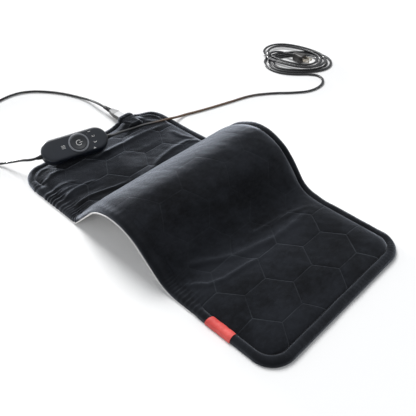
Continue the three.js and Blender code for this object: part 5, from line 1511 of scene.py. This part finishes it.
keep(coverPiece, "pad", "velvet_cover", coverCloth, "cover_top")
keep(bindingPiece, "pad", "binding_cloth", bindingCloth, "edge_binding")
keep(stitchPiece, "pad", "binding_cloth", threadCloth)
keep(backingPiece, "pad", "backing_cloth", backingCloth, "cover_back")
keep(tagPiece, "pad", "tag_cloth", tagCloth, "side_tag")
keep(pocketPiece, "pad", "velvet_cover", pocketCloth, "socket_pocket")
keep(hemPiece, "pad", "binding_cloth", bindingCloth)
keep(upperShellPiece, "pad", "case_plastic", casePlastic, "upper_shell")
keep(lowerShellPiece, "pad", "case_plastic", casePlastic, "lower_shell")
keep(ringPiece, "pad", "ring_plastic", ringPaintedHighlight, "button_ring")
keep(legendPiece, "pad", "light_plastic", printWhite)
keep(mainsGrommet, "pad", "cord_sheath", cordRubber, "cord_grommet")
keep(leadGrommet, "pad", "cord_sheath", cordRubber, "lead_grommet")
keep(buttonPiece, "button", "button_plastic", buttonPlastic, "power_button")
keep(signPiece, "button", "light_plastic", printWhite)
keep(connectorTop, "connector", "connector_cap", capPlastic, "connector_upper")
keep(connectorBase, "connector", "connector_base", basePlastic, "connector_lower")
keep(connectorReliefPiece, "connector", "cord_sheath", cordRubber, "connector_relief")
keep(plugBody, "pad", "plug_plastic", plugPlastic, "plug_body")
keep(plugReliefPiece, "pad", "cord_sheath", cordRubber, "plug_relief")
keep(blades[0], "pad", "blade_brass", bladeBrass, "plug_blade_1")
keep(blades[1], "pad", "blade_brass", bladeBrass, "plug_blade_2")
keep(leadPiece, None, "cord_sheath", cordRubber, "pad_lead")
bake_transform(leadPiece)
keep(mainsPiece, "pad", "cord_sheath", mainsRubber, "power_cord", "cord_hank")

print("pieces finished and riding")


# floor and soft studio light
studio = {
    "floorSize": 6.0, "floorDrop": 0.3 * mm, "floorShade": 0.955, "skyTint": (0.96, 0.98, 1.0, 1.0),
    "skyFrom": (-0.85, 0.25, 0.45), "skyFront": 0.37, "skyBack": 0.56, "mirrored": 1.4,
    "lamps": [("studioSun", 2.5, (-0.85, 0.3, 1.0), 30.0), ("studioRim", 7.2, (-1.0, 0.1, 0.04), 12.0)],
}


def makeStudio():
    half = studio["floorSize"] / 2
    low = -studio["floorDrop"]
    corners = [(-half, -half, low), (half, -half, low), (half, half, low), (-half, half, low)]
    floorMesh = bpy.data.meshes.new("studioFloor")
    floorMesh.from_pydata(corners, [], [(0, 1, 2, 3)])
    floor = bpy.data.objects.new("studioFloor", floorMesh)
    scene.collection.objects.link(floor)
    paper, tree, shader = newFinish("studioPaper", 0.9, **{"Specular IOR Level": 0.0})
    cloud = speckle(tree, 3.0, 2.0)
    shade = studio["floorShade"]
    tree.links.new(shades(tree, cloud, (shade, shade, shade), (shade + 0.01, shade + 0.01, shade + 0.01)),
                   shader.inputs["Base Color"])
    floorMesh.materials.append(paper)

    world = bpy.data.worlds.new("studioSky")
    world.use_nodes = True
    tree = world.node_tree
    sky = tree.nodes["Background"]
    sky.inputs["Color"].default_value = studio["skyTint"]
    place = addNode(tree, "TexCoord")
    towards = addNode(tree, "VectorMath", [(0, place.outputs["Generated"])], operation="DOT_PRODUCT")
    towards.inputs[1].default_value = Vector(studio["skyFrom"]).normalized()
    glow = spread(tree, towards.outputs["Value"], -0.2, 1.0, studio["skyFront"], studio["skyBack"])
    rays = addNode(tree, "LightPath")
    mirror = calc(tree, "MULTIPLY_ADD", rays.outputs["Is Glossy Ray"], studio["mirrored"] - 1.0, 1.0)
    tree.links.new(calc(tree, "MULTIPLY", glow, mirror), sky.inputs["Strength"])
    white = addNode(tree, "Background", Color=(1.0, 1.0, 1.0, 1.0), Strength=1.0)
    seen = calc(tree, "MAXIMUM", rays.outputs["Is Camera Ray"], rays.outputs["Is Transmission Ray"])
    mixed = addNode(tree, "MixShader", [(0, seen), (1, sky.outputs[0]), (2, white.outputs[0])])
    tree.links.new(mixed.outputs[0], tree.nodes["World Output"].inputs["Surface"])
    scene.world = world

    for name, energy, comesFrom, spreadAngle in studio["lamps"]:
        lamp = bpy.data.lights.new(name, "SUN")
        lamp.energy = energy
        lamp.angle = math.radians(spreadAngle)
        sun = bpy.data.objects.new(name, lamp)
        sun.rotation_euler = Vector(comesFrom).to_track_quat("Z", "Y").to_euler()
        scene.collection.objects.link(sun)


makeStudio()
print("studio lit")
